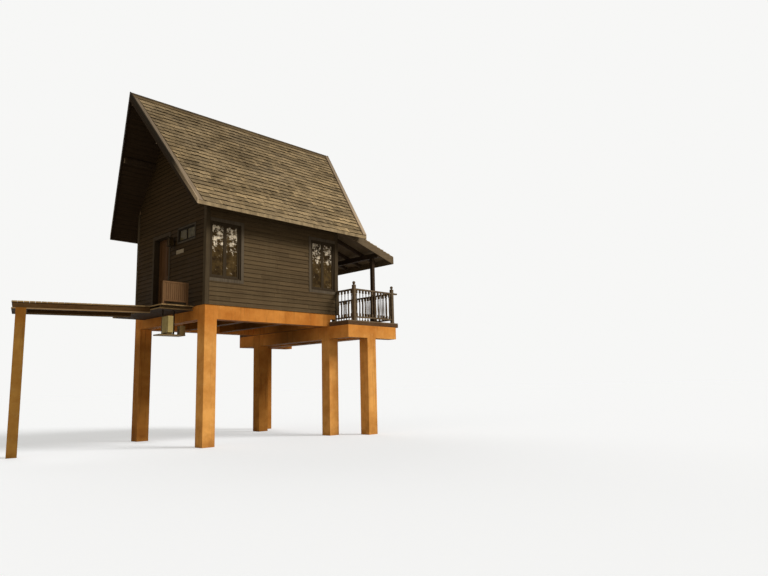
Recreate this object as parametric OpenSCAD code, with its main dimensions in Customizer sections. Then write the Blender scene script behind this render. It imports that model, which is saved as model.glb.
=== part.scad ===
// A one-room timber bungalow on concrete stilts, with a landing and a walkway
// at its entrance end and a covered veranda at its river end.
// House axes: X runs along the ridge to the river end, Y to the back, Z up from
// the top of the floor slab. house() shifts them to the front left stilt's foot.

/* [Stilts and beams] */
// Height of the slab's top above the lowest ground under the stilts
leg_h = 3600; // [2400:50:5000]
// Width of a square stilt
col_w = 350; // [250:10:450]
// Depth of an edge beam below the slab
beam_h = 230; // [150:10:400]
// Width of an edge beam
beam_w = 300; // [200:10:340]
// Thickness of the floor slab
slab_t = 140; // [100:5:200]
// How far the slab stops short of the river wall's outer face
slab_short = 90; // [0:10:150]
// How far the long beams bear on the low cross beam
beam_seat = 60; // [40:5:150]
// Depth of the low beams that carry the veranda
low_beam_h = 370; // [250:10:500]
// Number of ribs under the slab
rib_count = 2; // [1:1:5]
// Width of a rib
rib_w = 200; // [120:10:300]
// Depth of a rib below the slab
rib_h = 200; // [100:10:230]

/* [House body] */
// Length of the house along the ridge, over its walls
body_l = 4550; // [4300:50:6500]
// Width of the house, over its walls
body_w = 3950; // [3700:50:5000]
// Thickness of a wall
wall_t = 180; // [140:5:240]
// Thickness of the timber floor
floor_t = 60; // [30:5:100]
// Width of a corner board
corner_w = 100; // [80:5:150]
// Thickness of a corner board
corner_t = 22; // [15:1:35]

/* [Roof] */
// Height of the ridge above the slab
ridge_h = 6000; // [5000:50:7000]
// Height of the roof surface at the eave
eave_h = 2530; // [2400:10:2700]
// How far the eaves stand out from the long walls
eave_out = 580; // [400:10:800]
// How far the eave runs past the entrance wall
verge_in = 590; // [400:10:900]
// How far the eave runs past the river wall
verge_out = 700; // [400:10:900]
// How far the ridge runs out past the eaves, which gives the prow
prow = 680; // [300:10:1000]
// Thickness of the roof
roof_t = 60; // [40:5:90]
// Depth of a bargeboard, measured plumb
barge_h = 260; // [200:10:320]
// Thickness of a bargeboard
barge_t = 35; // [20:1:50]
// How far a bargeboard stands above the roof, measured plumb
barge_up = 60; // [10:5:80]
// Depth of the board along an eave
fascia_h = 115; // [80:5:200]
// Thickness of the board along an eave
fascia_t = 25; // [15:1:40]
// Width of a purlin
purlin_w = 80; // [50:5:120]
// Depth of a purlin
purlin_h = 160; // [100:10:220]
// How far a purlin's end stays behind the verge
purlin_back = 60; // [20:10:300]
// Width of a ridge cap's wing along the slope
cap_w = 170; // [100:10:250]
// Thickness of the ridge cap
cap_t = 18; // [10:1:30]

/* [Windows] */
// Width of a window's opening
win_w = 950; // [600:10:1100]
// Height of the sill above the slab
win_sill = 710; // [500:10:1000]
// Height of the window head above the slab
win_head = 2230; // [1900:10:2250]
// Width of a window frame's members
frame_w = 45; // [30:1:60]
// Width of a casement's members
sash_w = 48; // [35:1:60]
// Thickness of a casement
sash_t = 38; // [28:1:50]
// Width of the casing boards
casing_w = 85; // [50:5:120]
// Thickness of the casing boards
casing_t = 26; // [15:1:40]
// Thickness of the glass
glass_t = 6; // [4:1:10]
// Where the high gable window starts, from the front wall's face
high_y = 560; // [450:10:700]
// Width of the high gable window
high_w = 880; // [600:10:1000]
// Height of the high gable window's sill above the slab
high_sill = 1860; // [1700:10:1900]
// Height of the high gable window's opening
high_h = 360; // [250:10:400]

/* [Doors] */
// Where the entrance doorway starts, from the front wall's face
door_y = 1930; // [1750:10:2200]
// Width of the entrance doorway in the wall
door_w = 960; // [900:10:1100]
// Height of a doorway's head above the slab
door_head = 2210; // [2100:10:2240]
// Width of a door frame's members
jamb_w = 50; // [40:1:70]
// Thickness of a door leaf
leaf_t = 42; // [35:1:55]
// Gap between a moving leaf and its frame or floor
leaf_gap = 6; // [5:0.5:10]
// Width of a leaf's stiles and rails
stile_w = 105; // [80:5:130]
// Depth of a leaf's sunk panels
panel_in = 12; // [6:1:15]
// Radius of a hinge barrel
hinge_r = 9; // [7:0.5:12]
// Radius of a hinge pin
pin_r = 5; // [3:0.5:6]
// Height of one half of a hinge barrel
knuckle_h = 50; // [30:5:70]
// Clearance in a hinge
hinge_play = 0.1; // [0.05:0.05:0.3]
// Width of the river doorway in the wall
river_door_w = 1240; // [1100:20:1500]

/* [Veranda] */
// How far the veranda stands out in front of the long walls
wing = 860; // [600:20:1100]
// How far the veranda beams run past the river wall
veranda_l = 1700; // [1500:50:2400]
// Distance from the river wall to the veranda stilts
veranda_col = 430; // [300:10:900]
// Height of the veranda joists and boards together
deck_t = 140; // [110:5:180]
// Thickness of the deck boards
board_t = 35; // [25:1:45]
// How far the deck runs past the ends of its beams
deck_over = 110; // [0:10:200]
// Width of a deck joist
joist_w = 60; // [40:5:90]
// Number of deck joists
joist_count = 5; // [4:1:7]
// Height of the handrail's top above the veranda deck
rail_h = 970; // [850:10:1100]
// Width of the handrail
rail_w = 75; // [60:5:100]
// Thickness of the handrail
rail_t = 45; // [30:1:60]
// Height of the lower rail's underside above the deck
low_rail_z = 90; // [60:5:150]
// Width of a railing post
post_w = 90; // [80:5:120]
// Radius of a post's ball
ball_r = 48; // [40:2:60]
// Distance between balusters
baluster_step = 130; // [110:5:180]
// Width of a baluster's square blocks
baluster_w = 44; // [34:1:50]
// Distance from the low cross beam's face to the middle of the side railing
side_rail_in = 320; // [230:5:330]
// How far the handrail runs past the outer corner posts
rail_over = 220; // [100:10:260]
// Bays of railing between the lean-to's posts
river_bays = 2; // [1:1:4]
// Distance from the deck's edge to the middle of the railing
rail_in = 75; // [60:5:120]

/* [Lean-to roof] */
// How far the lean-to's top at the river wall stays below the main roof's underside
lean_drop = 40; // [30:5:300]
// Height of the lean-to's top surface at its eave
lean_low = 2090; // [1900:10:2250]
// How far the lean-to stands out from the river wall
lean_l = 2280; // [2000:20:2600]
// How far the lean-to stands out past the long walls
lean_out = 250; // [0:10:300]
// Thickness of the lean-to's roofing
lean_t = 50; // [30:5:80]
// Width of a lean-to rafter
rafter_w = 60; // [40:5:90]
// Depth of a lean-to rafter, measured plumb
rafter_h = 110; // [80:5:150]
// Number of lean-to rafters
rafter_count = 7; // [5:1:9]
// Width of a lean-to post
lean_post_w = 110; // [80:5:140]
// Depth of the beam on the posts
lean_beam_h = 150; // [100:10:200]
// Depth of the boards round the lean-to's edges
lean_board_h = 240; // [190:10:270]
// Thickness of the boards round the lean-to's edges
lean_board_t = 28; // [20:1:40]

/* [Landing and walkway] */
// How far the landing stands out from the entrance wall
landing_l = 920; // [900:10:1200]
// Where the landing starts, from the front wall's face
landing_y = 500; // [360:10:700]
// Where the landing ends, from the front wall's face
landing_end = 3500; // [3200:10:3900]
// Full depth of the landing
landing_t = 115; // [100:5:200]
// Thickness of the boards under the landing's joists
landing_low_t = 30; // [25:1:45]
// How far those boards stay behind the landing's front and back edges
landing_low_in = 100; // [0:10:150]
// How far the landing's joists stay behind the boards' edges
landing_in = 60; // [30:5:120]
// Angle of the walkway from the ridge's direction
walk_angle = 16.5; // [10:0.5:35]
// Width of the walkway
walk_w = 1200; // [1000:10:1300]
// Length of the walkway's front edge
walk_l = 3080; // [2500:10:3600]
// Where the walkway's front edge meets the landing, from the front wall's face
walk_y = 1100; // [1000:10:1200]
// Full depth of the walkway
walk_t = 190; // [150:5:230]
// Width of a walkway bearer
bearer_w = 80; // [60:5:120]
// How far the walkway's bearers stay behind its edges
bearer_in = 20; // [5:5:40]
// Thickness of the boards under the walkway's bearers
walk_low_t = 30; // [20:1:45]
// Width of the walkway's post
walk_post_w = 220; // [180:10:300]
// Distance from the walkway's outer end to its post
walk_post_in = 90; // [20:10:300]
// Width of the slatted screen
screen_w = 700; // [500:10:800]
// Height of the slatted screen above the landing
screen_h = 590; // [500:10:700]
// Height of the gap under the slats
screen_gap = 75; // [40:5:120]
// Number of slats in the screen
slat_count = 11; // [7:1:15]

/* [Lamp and service shelf] */
// Width and depth of the lamp's body
lamp_w = 170; // [120:5:220]
// Height of the lamp's body
lamp_h = 300; // [220:10:360]
// Height of the lamp's underside above the slab
lamp_z = 1780; // [1700:10:1850]
// Distance from the doorway's near side to the lamp's middle
lamp_gap = 210; // [150:10:300]
// Length of the shelf under the landing
shelf_l = 700; // [600:10:750]
// Depth of the shelf
shelf_w = 360; // [360:10:450]
// Drop of the shelf below the landing
shelf_drop = 670; // [600:10:750]
// Width of the tall box on the shelf
tall_box_w = 140; // [100:10:180]
// Height of the tall box on the shelf
tall_box_h = 420; // [300:10:450]
// Width of the low box on the shelf
low_box_w = 150; // [100:10:180]
// Height of the low box on the shelf
low_box_h = 235; // [150:5:300]

/* [Hidden] */
$fn = 48;

// Colours
concrete = [0.80, 0.45, 0.16];
dark_board = [0.23, 0.19, 0.16];
grey_board = [0.42, 0.37, 0.32];
shingle = [0.34, 0.30, 0.26];
red_wood = [0.33, 0.20, 0.15];
deck_wood = [0.45, 0.38, 0.30];
pane = [0.65, 0.70, 0.68, 0.5];
metal = [0.55, 0.55, 0.53];

// Levels
ground = -leg_h;
beam_z = -slab_t - beam_h;
low_z = beam_z - low_beam_h;
deck_z = beam_z + deck_t;
mid_y = body_w / 2;

// Gap left where slanted faces meet, so that their solids don't cut each other
seam = 0.3;

// Plan of the stilts and beams
beam_end = body_l - col_w + beam_seat;
cross_x = body_l - col_w;
slab_end = body_l - slab_short;
back_col_y = body_w - col_w;
veranda_y = [-wing, body_w + wing - col_w];
veranda_end = body_l + veranda_l;
veranda_col_x = body_l + veranda_col;

// Roof
run = mid_y + eave_out;
pitch = atan((ridge_h - eave_h) / run);
roof_v = roof_t / cos(pitch);
function roof_top(y) = eave_h + (min(y, body_w - y) + eave_out) * tan(pitch);
function roof_under(y) = roof_top(y) - roof_v;
// Where the verge stands at the distance y from the front wall's face
function verge_share(y) = (min(y, body_w - y) + eave_out) / run;
function verge_x0(y) = -verge_in - prow * verge_share(y);
function verge_x1(y) = body_l + verge_out + prow * verge_share(y);
// The purlins' middles: the wall lines, halfway up each slope, and the ridge
side_purlin_y = mid_y * 0.5;
purlin_ys = [side_purlin_y, body_w - side_purlin_y];

// Deck and railing
deck_end = veranda_end + deck_over;
rail_y = [-wing + rail_in, body_w + wing - rail_in];
rail_x = [cross_x + side_rail_in, veranda_end - rail_in];
rail_top = deck_z + rail_h;

// Lean-to roof
lean_high = roof_under(-lean_out - lean_board_t) - lean_drop;
lean_slope = (lean_high - lean_low) / lean_l;
function lean_top(x) = lean_high - x * lean_slope;

module house() translate([-col_w / 2, -col_w / 2, leg_h]) children();

// Extrudes a drawing of Y and Z along X
module along_x(x0, x1) translate([x0, 0, 0]) rotate([90, 0, 90]) linear_extrude(x1 - x0) children();

// Extrudes a drawing of X and Z along Y
module along_y(y0, y1) translate([0, y1, 0]) rotate([90, 0, 0]) linear_extrude(y1 - y0) children();

module block(low, high) translate(low) cube(high - low);

module rect(low, high) translate(low) square(high - low);

// Mirrors a piece of the front to the back
module at_back() translate([0, body_w, 0]) mirror([0, 1, 0]) children();

// Mirrors a piece of the entrance end to the river end
module at_river() translate([body_l, 0, 0]) mirror([1, 0, 0]) children();

module stilt(x, y, top) block([x, y, ground], [x + col_w, y + col_w, top]);

module house_stilts() color(concrete) house() for (y = [0, back_col_y]) {
    stilt(0, y, -slab_t);
    stilt(cross_x, y, low_z);
}

module veranda_stilts() color(concrete) house()
    for (y = veranda_y) stilt(veranda_col_x, y, low_z);

module long_beam() block([col_w, 0, beam_z], [beam_end, beam_w, -slab_t]);

module long_beams() color(concrete) house() {
    long_beam();
    at_back() long_beam();
}

module end_beams() color(concrete) house() {
    block([0, col_w, beam_z], [beam_w, back_col_y, -slab_t]);
    block([beam_end - beam_w, beam_w, beam_z], [beam_end, body_w - beam_w, -slab_t]);
}

module slab_ribs() color(concrete) house() {
    bay = (beam_end - 2 * beam_w - rib_count * rib_w) / (rib_count + 1);
    for (i = [0:rib_count - 1]) {
        x = beam_w + bay + i * (bay + rib_w);
        block([x, beam_w, -slab_t - rib_h], [x + rib_w, body_w - beam_w, -slab_t]);
    }
}

module low_cross_beams() color(concrete) house() for (x = [cross_x, veranda_col_x])
    block([x, veranda_y[0] + col_w, low_z], [x + col_w, veranda_y[1], beam_z]);

module veranda_beams() color(concrete) house() for (y = veranda_y)
    block([cross_x, y, low_z], [veranda_end, y + col_w, beam_z]);

module floor_slab() color(concrete) house()
    block([0, 0, -slab_t], [slab_end, body_w, 0]);

module timber_floor() color(deck_wood) house()
    block([wall_t, wall_t, 0], [body_l - wall_t, body_w - wall_t, floor_t]);

// The two window openings of a long wall
win_xs = [corner_w, body_l - corner_w - win_w];

module long_wall() difference() {
    along_x(0, body_l) polygon([[0, 0], [wall_t, 0],
        [wall_t, roof_under(wall_t) - seam], [0, roof_under(0) - seam]]);
    for (x = win_xs) block([x, -1, win_sill], [x + win_w, wall_t + 1, win_head]);
}

module front_wall() color(dark_board) house() long_wall();

module back_wall() color(dark_board) house() at_back() long_wall();

// Where an end wall is split: the low walls stop here and the gable goes on
split_z = high_sill + high_h + casing_w;

module entrance_wall_near() color(dark_board) house() difference() {
    block([0, wall_t, 0], [wall_t, door_y, split_z]);
    block([-1, high_y, high_sill], [wall_t + 1, high_y + high_w, high_sill + high_h]);
}

module entrance_wall_far() color(dark_board) house()
    block([0, door_y + door_w, 0], [wall_t, body_w - wall_t, split_z]);

module purlin_section(y, z, h) rect([y - purlin_w / 2, z - h], [y + purlin_w / 2, z]);

// The lowest roof underside over a purlin's width
function purlin_z(y) = min(roof_under(y - purlin_w / 2), roof_under(y + purlin_w / 2));

module purlin_sections() {
    for (y = purlin_ys) purlin_section(y, purlin_z(y), purlin_h);
    purlin_section(mid_y, purlin_z(mid_y), purlin_h);
}

// An end wall above the split, with a tab over its doorway
module gable(door_from, door_to) along_x(0, wall_t) difference() {
    union() {
        polygon([[wall_t, split_z], [body_w - wall_t, split_z],
            [body_w - wall_t, roof_under(wall_t) - seam], [mid_y, roof_under(mid_y) - seam],
            [wall_t, roof_under(wall_t) - seam]]);
        rect([door_from, door_head], [door_to, split_z + 1]);
    }
    purlin_sections();
}

module entrance_gable() color(dark_board) house() gable(door_y, door_y + door_w);

river_door_y = mid_y - river_door_w / 2;

module river_wall_sides() color(dark_board) house() at_river() {
    block([0, wall_t, 0], [wall_t, river_door_y, split_z]);
    block([0, river_door_y + river_door_w, 0], [wall_t, body_w - wall_t, split_z]);
}

module river_gable() color(dark_board) house()
    at_river() gable(river_door_y, river_door_y + river_door_w);

// An angle of two boards round the front left corner
module corner_board() difference() {
    block([-corner_t, -corner_t, 0], [corner_w, corner_w, roof_under(-corner_t) - corner_t]);
    block([0, 0, -1], [corner_w + 1, corner_w + 1, ridge_h]);
}

module corner_boards() color(grey_board) house() {
    corner_board();
    at_back() corner_board();
    at_river() {
        corner_board();
        at_back() corner_board();
    }
}

module ring(low, high, w) difference() {
    rect(low, high);
    rect(low + [w, w], high - [w, w]);
}

win_low = [win_xs[0], win_sill];
win_high = win_low + [win_w, win_head - win_sill];

// Frame of the front wall's left window
module window_frame() along_y(0, wall_t) ring(win_low, win_high, frame_w);

// Casing of the same window, whose outer side is the corner board
module window_casing() along_y(-casing_t, 0) difference() {
    rect(win_low - [0, casing_w], win_high + [casing_w, casing_w]);
    rect(win_low - [1, 0], win_high);
}

module all_windows() {
    children();
    at_back() children();
    at_river() {
        children();
        at_back() children();
    }
}

high_low = [high_y, high_sill];
high_high = high_low + [high_w, high_h];

module high_frame() {
    along_x(0, wall_t) ring(high_low, high_high, frame_w);
    along_x(0, sash_t) rect([high_y + (high_w - frame_w) / 2, high_sill + frame_w],
        [high_y + (high_w + frame_w) / 2, high_sill + high_h - frame_w]);
}

module window_frames() color(dark_board) house() {
    all_windows() window_frame();
    high_frame();
}

module window_casings() color(grey_board) house() {
    all_windows() window_casing();
    along_x(-casing_t, 0) ring(high_low - [frame_w, frame_w], high_high + [frame_w, frame_w], frame_w);
}

// How far a window's casements stand back from the wall's face
sash_y = 25;
// Gap between two shut leaves or casements
meet_gap = 1;
sash_l = (win_w - 2 * frame_w) / 2;
sash_low = win_sill + frame_w;
sash_high = win_head - frame_w;

module casement_pair() for (i = [0:1]) {
    x = win_xs[0] + frame_w + i * sash_l;
    along_y(sash_y, sash_y + sash_t) ring([x, sash_low], [x + sash_l - meet_gap, sash_high], sash_w);
}

module casements() color(dark_board) house() all_windows()
    translate([meet_gap / 2, 0, 0]) casement_pair();

module pane_pair() for (i = [0:1]) {
    x = win_xs[0] + frame_w + i * sash_l + sash_w;
    y = sash_y + (sash_t - glass_t) / 2;
    block([x, y, sash_low + sash_w], [x + sash_l - 2 * sash_w - meet_gap, y + glass_t, sash_high - sash_w]);
}

module high_panes() {
    light_w = (high_w - 3 * frame_w) / 2;
    for (i = [0:1]) {
        y = high_y + frame_w + i * (light_w + frame_w);
        block([(sash_t - glass_t) / 2, y, high_sill + frame_w],
            [(sash_t + glass_t) / 2, y + light_w, high_sill + high_h - frame_w]);
    }
}

module river_door_panes() for (i = [0:1]) {
    y = river_door_y + jamb_w + i * river_leaf_w + stile_w;
    x = river_leaf_x + (leaf_t - glass_t) / 2;
    block([x, y, river_light_z], [x + glass_t, y + river_leaf_w - 2 * stile_w, river_leaf_top - stile_w]);
}

module window_glass() color(pane) house() {
    all_windows() translate([meet_gap / 2, 0, 0]) pane_pair();
    high_panes();
    at_river() river_door_panes();
}

// A frame of two jambs and a head round a doorway, with its casing outside
module doorway_frame(y0, y1) {
    along_x(0, wall_t) difference() {
        rect([y0, 0], [y1, door_head]);
        rect([y0 + jamb_w, -1], [y1 - jamb_w, door_head - jamb_w]);
    }
    along_x(-casing_t, 0) difference() {
        rect([y0 - jamb_w, 0], [y1 + jamb_w, door_head + jamb_w]);
        rect([y0 + jamb_w, -1], [y1 - jamb_w, door_head - jamb_w]);
    }
    block([0, y0 + jamb_w, 0], [wall_t, y1 - jamb_w, floor_t]);
}

plate_t = 4;
plate_w = 45;
// The hinge axis stands inside the room, in line with the far jamb's face
hinge_x = wall_t + hinge_r + 1;
hinge_y = door_y + door_w - jamb_w;
hinge_in = 250;
hinge_zs = [floor_t + hinge_in, (floor_t + door_head) / 2, door_head - jamb_w - hinge_in];

module door_frame() color(dark_board) house() {
    doorway_frame(door_y, door_y + door_w);
    for (z = hinge_zs) {
        translate([hinge_x, hinge_y, z]) cylinder(r = hinge_r, h = knuckle_h);
        translate([hinge_x, hinge_y, z]) cylinder(r = pin_r, h = 2 * knuckle_h);
        block([wall_t, hinge_y, z], [wall_t + plate_t, hinge_y + plate_w, z + knuckle_h]);
    }
}

leaf_low = [door_y + jamb_w + leaf_gap, floor_t + leaf_gap];
leaf_high = [hinge_y - leaf_gap, door_head - jamb_w - leaf_gap];
leaf_x = wall_t - leaf_t;
low_rail_h = 170;

// The sunk panels of a leaf: two above the lock rail and two below
module leaf_panels(low, high, rail_z) {
    w = (high[0] - low[0] - 3 * stile_w) / 2;
    for (i = [0:1]) {
        y = low[0] + stile_w + i * (w + stile_w);
        rect([y, low[1] + low_rail_h], [y + w, rail_z]);
        rect([y, rail_z + stile_w], [y + w, high[1] - stile_w]);
    }
}

module entrance_door() color(red_wood) house() {
    difference() {
        union() {
            along_x(leaf_x, wall_t) rect(leaf_low, leaf_high);
            for (z = hinge_zs) {
                translate([hinge_x, hinge_y, z + knuckle_h + hinge_play])
                    cylinder(r = hinge_r, h = knuckle_h - hinge_play);
                block([wall_t, hinge_y - plate_w, z + knuckle_h + hinge_play],
                    [wall_t + plate_t, hinge_y - 2, z + 2 * knuckle_h]);
            }
        }
        for (z = hinge_zs) translate([hinge_x, hinge_y, z]) cylinder(r = pin_r + hinge_play, h = 3 * knuckle_h);
        along_x(leaf_x - 1, leaf_x + panel_in) leaf_panels(leaf_low, leaf_high, lock_z);
        along_x(wall_t - panel_in, wall_t + 1) leaf_panels(leaf_low, leaf_high, lock_z);
    }
}

lock_z = floor_t + (door_head - floor_t) * 0.42;
handle_y = leaf_low[0] + stile_w / 2;
handle_out = 55;
handle_l = 120;
handle_r = 9;
neck_r = 7;
handle_z = lock_z + 40;
lock_plate = [5, 44, 220];

// A lever on each face of the leaf, on a plate
module door_handle() color(metal) house() for (face = [leaf_x, wall_t]) {
    out = face == wall_t ? 1 : -1;
    translate([face + out * lock_plate[0] / 2, handle_y, lock_z]) cube(lock_plate, center = true);
    translate([face + out * lock_plate[0], handle_y, handle_z]) rotate([0, out * 90, 0])
        cylinder(r = neck_r, h = handle_out - lock_plate[0]);
    translate([face + out * handle_out, handle_y - 2 * neck_r, handle_z]) rotate([-90, 0, 0])
        cylinder(r = handle_r, h = handle_l);
}

module river_door_frame() color(dark_board) house()
    at_river() doorway_frame(river_door_y, river_door_y + river_door_w);

river_leaf_w = (river_door_w - 2 * jamb_w) / 2;
river_panel_h = 500;
river_light_z = floor_t + river_panel_h;
river_leaf_top = door_head - jamb_w;
river_leaf_x = (wall_t - leaf_t) / 2;

// Two glazed leaves, shut, with a solid panel below
module river_door() color(red_wood) house() at_river() for (i = [0:1]) {
    y = river_door_y + jamb_w + i * river_leaf_w;
    along_x(river_leaf_x, river_leaf_x + leaf_t) difference() {
        rect([y + i * meet_gap, floor_t], [y + river_leaf_w, river_leaf_top]);
        rect([y + stile_w, river_light_z], [y + river_leaf_w - stile_w, river_leaf_top - stile_w]);
    }
}

// Plan of one roof slope between two distances from the front wall's face
module slope_plan(y0, y1) polygon([
    [verge_x0(y0), y0], [verge_x1(y0), y0], [verge_x1(y1), y1], [verge_x0(y1), y1]]);

// Plan of the two strips outside the verges, between two distances from them
module verge_strips(y0, y1, w0, w1) {
    polygon([[verge_x0(y0) - w1, y0], [verge_x0(y0) - w0, y0],
        [verge_x0(y1) - w0, y1], [verge_x0(y1) - w1, y1]]);
    polygon([[verge_x1(y0) + w0, y0], [verge_x1(y0) + w1, y0],
        [verge_x1(y1) + w1, y1], [verge_x1(y1) + w0, y1]]);
}

// A layer that follows the front slope, between two plumb distances from its surface
module slope_layer(up, down) along_x(verge_x0(mid_y) - barge_t, verge_x1(mid_y) + barge_t) polygon([
    for (p = [[-eave_out - fascia_t, up], [mid_y, up], [mid_y, -down], [-eave_out - fascia_t, -down]])
        [p[0], roof_top(p[0]) + p[1]]]);

module plan_solid() linear_extrude(ridge_h + barge_h) children();

module roof_slope() intersection() {
    slope_layer(0, roof_v);
    plan_solid() slope_plan(-eave_out, mid_y);
}

module front_roof() color(shingle) house() roof_slope();

module back_roof() color(shingle) house() at_back() roof_slope();

// A slope's two bargeboards, cut off level with the eave board's underside
module bargeboard_pair() intersection() {
    slope_layer(barge_up, barge_h - barge_up);
    translate([0, 0, eave_h - fascia_h]) plan_solid()
        verge_strips(-eave_out - fascia_t, mid_y, seam, barge_t);
}

module bargeboards() color(grey_board) house() {
    bargeboard_pair();
    at_back() bargeboard_pair();
}

module eave_board() translate([0, 0, eave_h - fascia_h]) linear_extrude(fascia_h)
    slope_plan(-eave_out - fascia_t, -eave_out);

module eave_boards() color(grey_board) house() {
    eave_board();
    at_back() eave_board();
}

module cap_wing() intersection() {
    slope_layer(cap_t, 0);
    plan_solid() slope_plan(mid_y - cap_w * cos(pitch), mid_y);
}

module ridge_cap() color(shingle) house() {
    cap_wing();
    at_back() cap_wing();
}

module purlins() color(dark_board) house() {
    for (y = purlin_ys) along_x(verge_x0(y) + purlin_back, verge_x1(y) - purlin_back)
        purlin_section(y, purlin_z(y), purlin_h);
    along_x(verge_x0(mid_y) + purlin_back, verge_x1(mid_y) - purlin_back)
        purlin_section(mid_y, purlin_z(mid_y), purlin_h);
}

// A layer that follows the lean-to's slope, between two distances from the river wall
module lean_layer(x0, x1, up, down) polygon([
    [body_l + x0, lean_top(x0) + up], [body_l + x1, lean_top(x1) + up],
    [body_l + x1, lean_top(x1) - down], [body_l + x0, lean_top(x0) - down]]);

// Room for the corner boards at the river end
module corner_room() for (y = [-corner_t, body_w - corner_w])
    block([body_l - 1, y, 0], [body_l + corner_t, y + corner_w + corner_t, ridge_h]);

module lean_to_roof() color(shingle) house() {
    difference() {
        along_y(-lean_out, body_w + lean_out) lean_layer(0, lean_l, 0, lean_t);
        corner_room();
    }
    for (y = [-lean_out - lean_board_t, body_w + lean_out])
        along_y(y, y + lean_board_t) lean_layer(0, lean_l, 0, lean_board_h);
    block([body_l + lean_l, -lean_out - lean_board_t, lean_low - lean_board_h],
        [body_l + lean_l + lean_board_t, body_w + lean_out + lean_board_t, lean_low]);
}

// The lean-to's posts stand in line with the railing along the river side
lean_post_x = rail_x[1] - body_l - lean_post_w / 2;
rafter_in = 40;
lean_beam_top = lean_top(lean_post_x) - lean_t - rafter_h - seam;
lean_post_y = [0, body_w - lean_post_w];

module lean_to_rafters() color(dark_board) house() {
    step = (body_w + 2 * (lean_out - rafter_in) - rafter_w) / (rafter_count - 1);
    for (i = [0:rafter_count - 1]) {
        y = -lean_out + rafter_in + i * step;
        along_y(y, y + rafter_w) lean_layer(0, lean_l - rafter_in, -lean_t - seam, lean_t + rafter_h);
    }
}

// Two posts and the beam on them, whose top is bevelled to the rafters
module lean_to_posts() color(dark_board) house() {
    x = body_l + lean_post_x;
    end_drop = lean_post_w * lean_slope;
    along_y(-lean_out, body_w + lean_out) polygon([
        [x, lean_beam_top], [x + lean_post_w, lean_beam_top - end_drop],
        [x + lean_post_w, lean_beam_top - lean_beam_h], [x, lean_beam_top - lean_beam_h]]);
    for (y = lean_post_y)
        block([x, y, deck_z], [x + lean_post_w, y + lean_post_w, lean_beam_top - lean_beam_h / 2]);
}

// Gap between the veranda and the house's corner boards
deck_gap = 6;
deck_hole_x = body_l + corner_t + deck_gap;
deck_hole_y = corner_t + deck_gap;

// The deck's plan: full width past the river wall, and a wing in front of each long wall
module veranda_deck() color(deck_wood) house() difference() {
    block([cross_x, -wing, deck_z - board_t], [deck_end, body_w + wing, deck_z]);
    block([cross_x - 1, -deck_hole_y, deck_z - board_t - 1], [deck_hole_x, body_w + deck_hole_y, deck_z + 1]);
}

rim_t = 30;

// Joists across the veranda, and a rim board along each long edge
module veranda_joists() color(dark_board) house() {
    step = (deck_end - deck_hole_x - joist_w) / (joist_count - 1);
    for (y = [-wing, body_w + wing - rim_t])
        block([cross_x, y, beam_z], [deck_end, y + rim_t, deck_z - board_t]);
    for (i = [0:joist_count - 1]) {
        x = deck_hole_x + i * step;
        block([x, -wing, beam_z], [x + joist_w, body_w + wing, deck_z - board_t]);
    }
    for (y = [-wing, body_w + deck_hole_y])
        block([cross_x, y, beam_z], [cross_x + joist_w, y + wing - deck_hole_y, deck_z - board_t]);
}

post_top = rail_top + 110;
ball_neck_h = 15;

// A post with a ball on a short neck, which runs into the ball
module railing_post(x, y) {
    block([x - post_w / 2, y - post_w / 2, deck_z], [x + post_w / 2, y + post_w / 2, post_top]);
    translate([x, y, post_top]) cylinder(r = ball_r * 0.6, h = ball_neck_h + ball_r * 0.3);
    translate([x, y, post_top + ball_neck_h + ball_r]) sphere(r = ball_r);
}

// The river side has corner posts, the lean-to's posts, and posts between them that split its bays
lean_post_ys = [for (y = lean_post_y) y + lean_post_w / 2];
river_bay_l = (lean_post_ys[1] - lean_post_ys[0]) / river_bays;
bay_post_ys = [for (i = [1:1:river_bays - 1]) lean_post_ys[0] + i * river_bay_l];
river_post_ys = concat(rail_y[0], lean_post_ys[0], bay_post_ys, lean_post_ys[1], rail_y[1]);

module railing_posts() color(dark_board) house() {
    for (y = rail_y) railing_post(rail_x[0], y);
    for (y = concat(rail_y, bay_post_ys)) railing_post(rail_x[1], y);
}

block_h = 90;
turned_h = rail_h - rail_t - low_rail_z - rail_t - 2 * block_h;

// Radius of a baluster's turned part at the share t of its height: a vase below a slim neck
function turned_r(t) = baluster_w * (0.26 + 0.20 * pow(sin(180 * pow(t, 0.65)), 2) * (1 - 0.55 * t)
    + 0.10 * exp(-pow((t - 0.04) / 0.03, 2)) + 0.10 * exp(-pow((t - 0.93) / 0.03, 2)));

module baluster(x) translate([x, 0, 0]) {
    z0 = deck_z + low_rail_z + rail_t;
    block([-baluster_w / 2, -baluster_w / 2, z0], [baluster_w / 2, baluster_w / 2, z0 + block_h]);
    translate([0, 0, z0 + block_h]) rotate_extrude($fn = 24) polygon(concat(
        [[0, 0]], [for (i = [0:14]) [turned_r(i / 14), turned_h * i / 14]], [[0, turned_h]]));
    block([-baluster_w / 2, -baluster_w / 2, z0 + block_h + turned_h],
        [baluster_w / 2, baluster_w / 2, z0 + 2 * block_h + turned_h]);
}

// A bay of railing along X between two posts' faces, with its middle on Y = 0
module railing_bay(x0, x1) {
    block([x0, -rail_w / 2, rail_top - rail_t], [x1, rail_w / 2, rail_top]);
    block([x0, -baluster_w / 2, deck_z + low_rail_z], [x1, baluster_w / 2, deck_z + low_rail_z + rail_t]);
    count = floor((x1 - x0) / baluster_step);
    for (i = [0:count - 1]) baluster(x0 + (i + 0.5) * (x1 - x0) / count);
}

module turned_to_y(x) translate([x, 0, 0]) rotate([0, 0, 90]) children();

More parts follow.
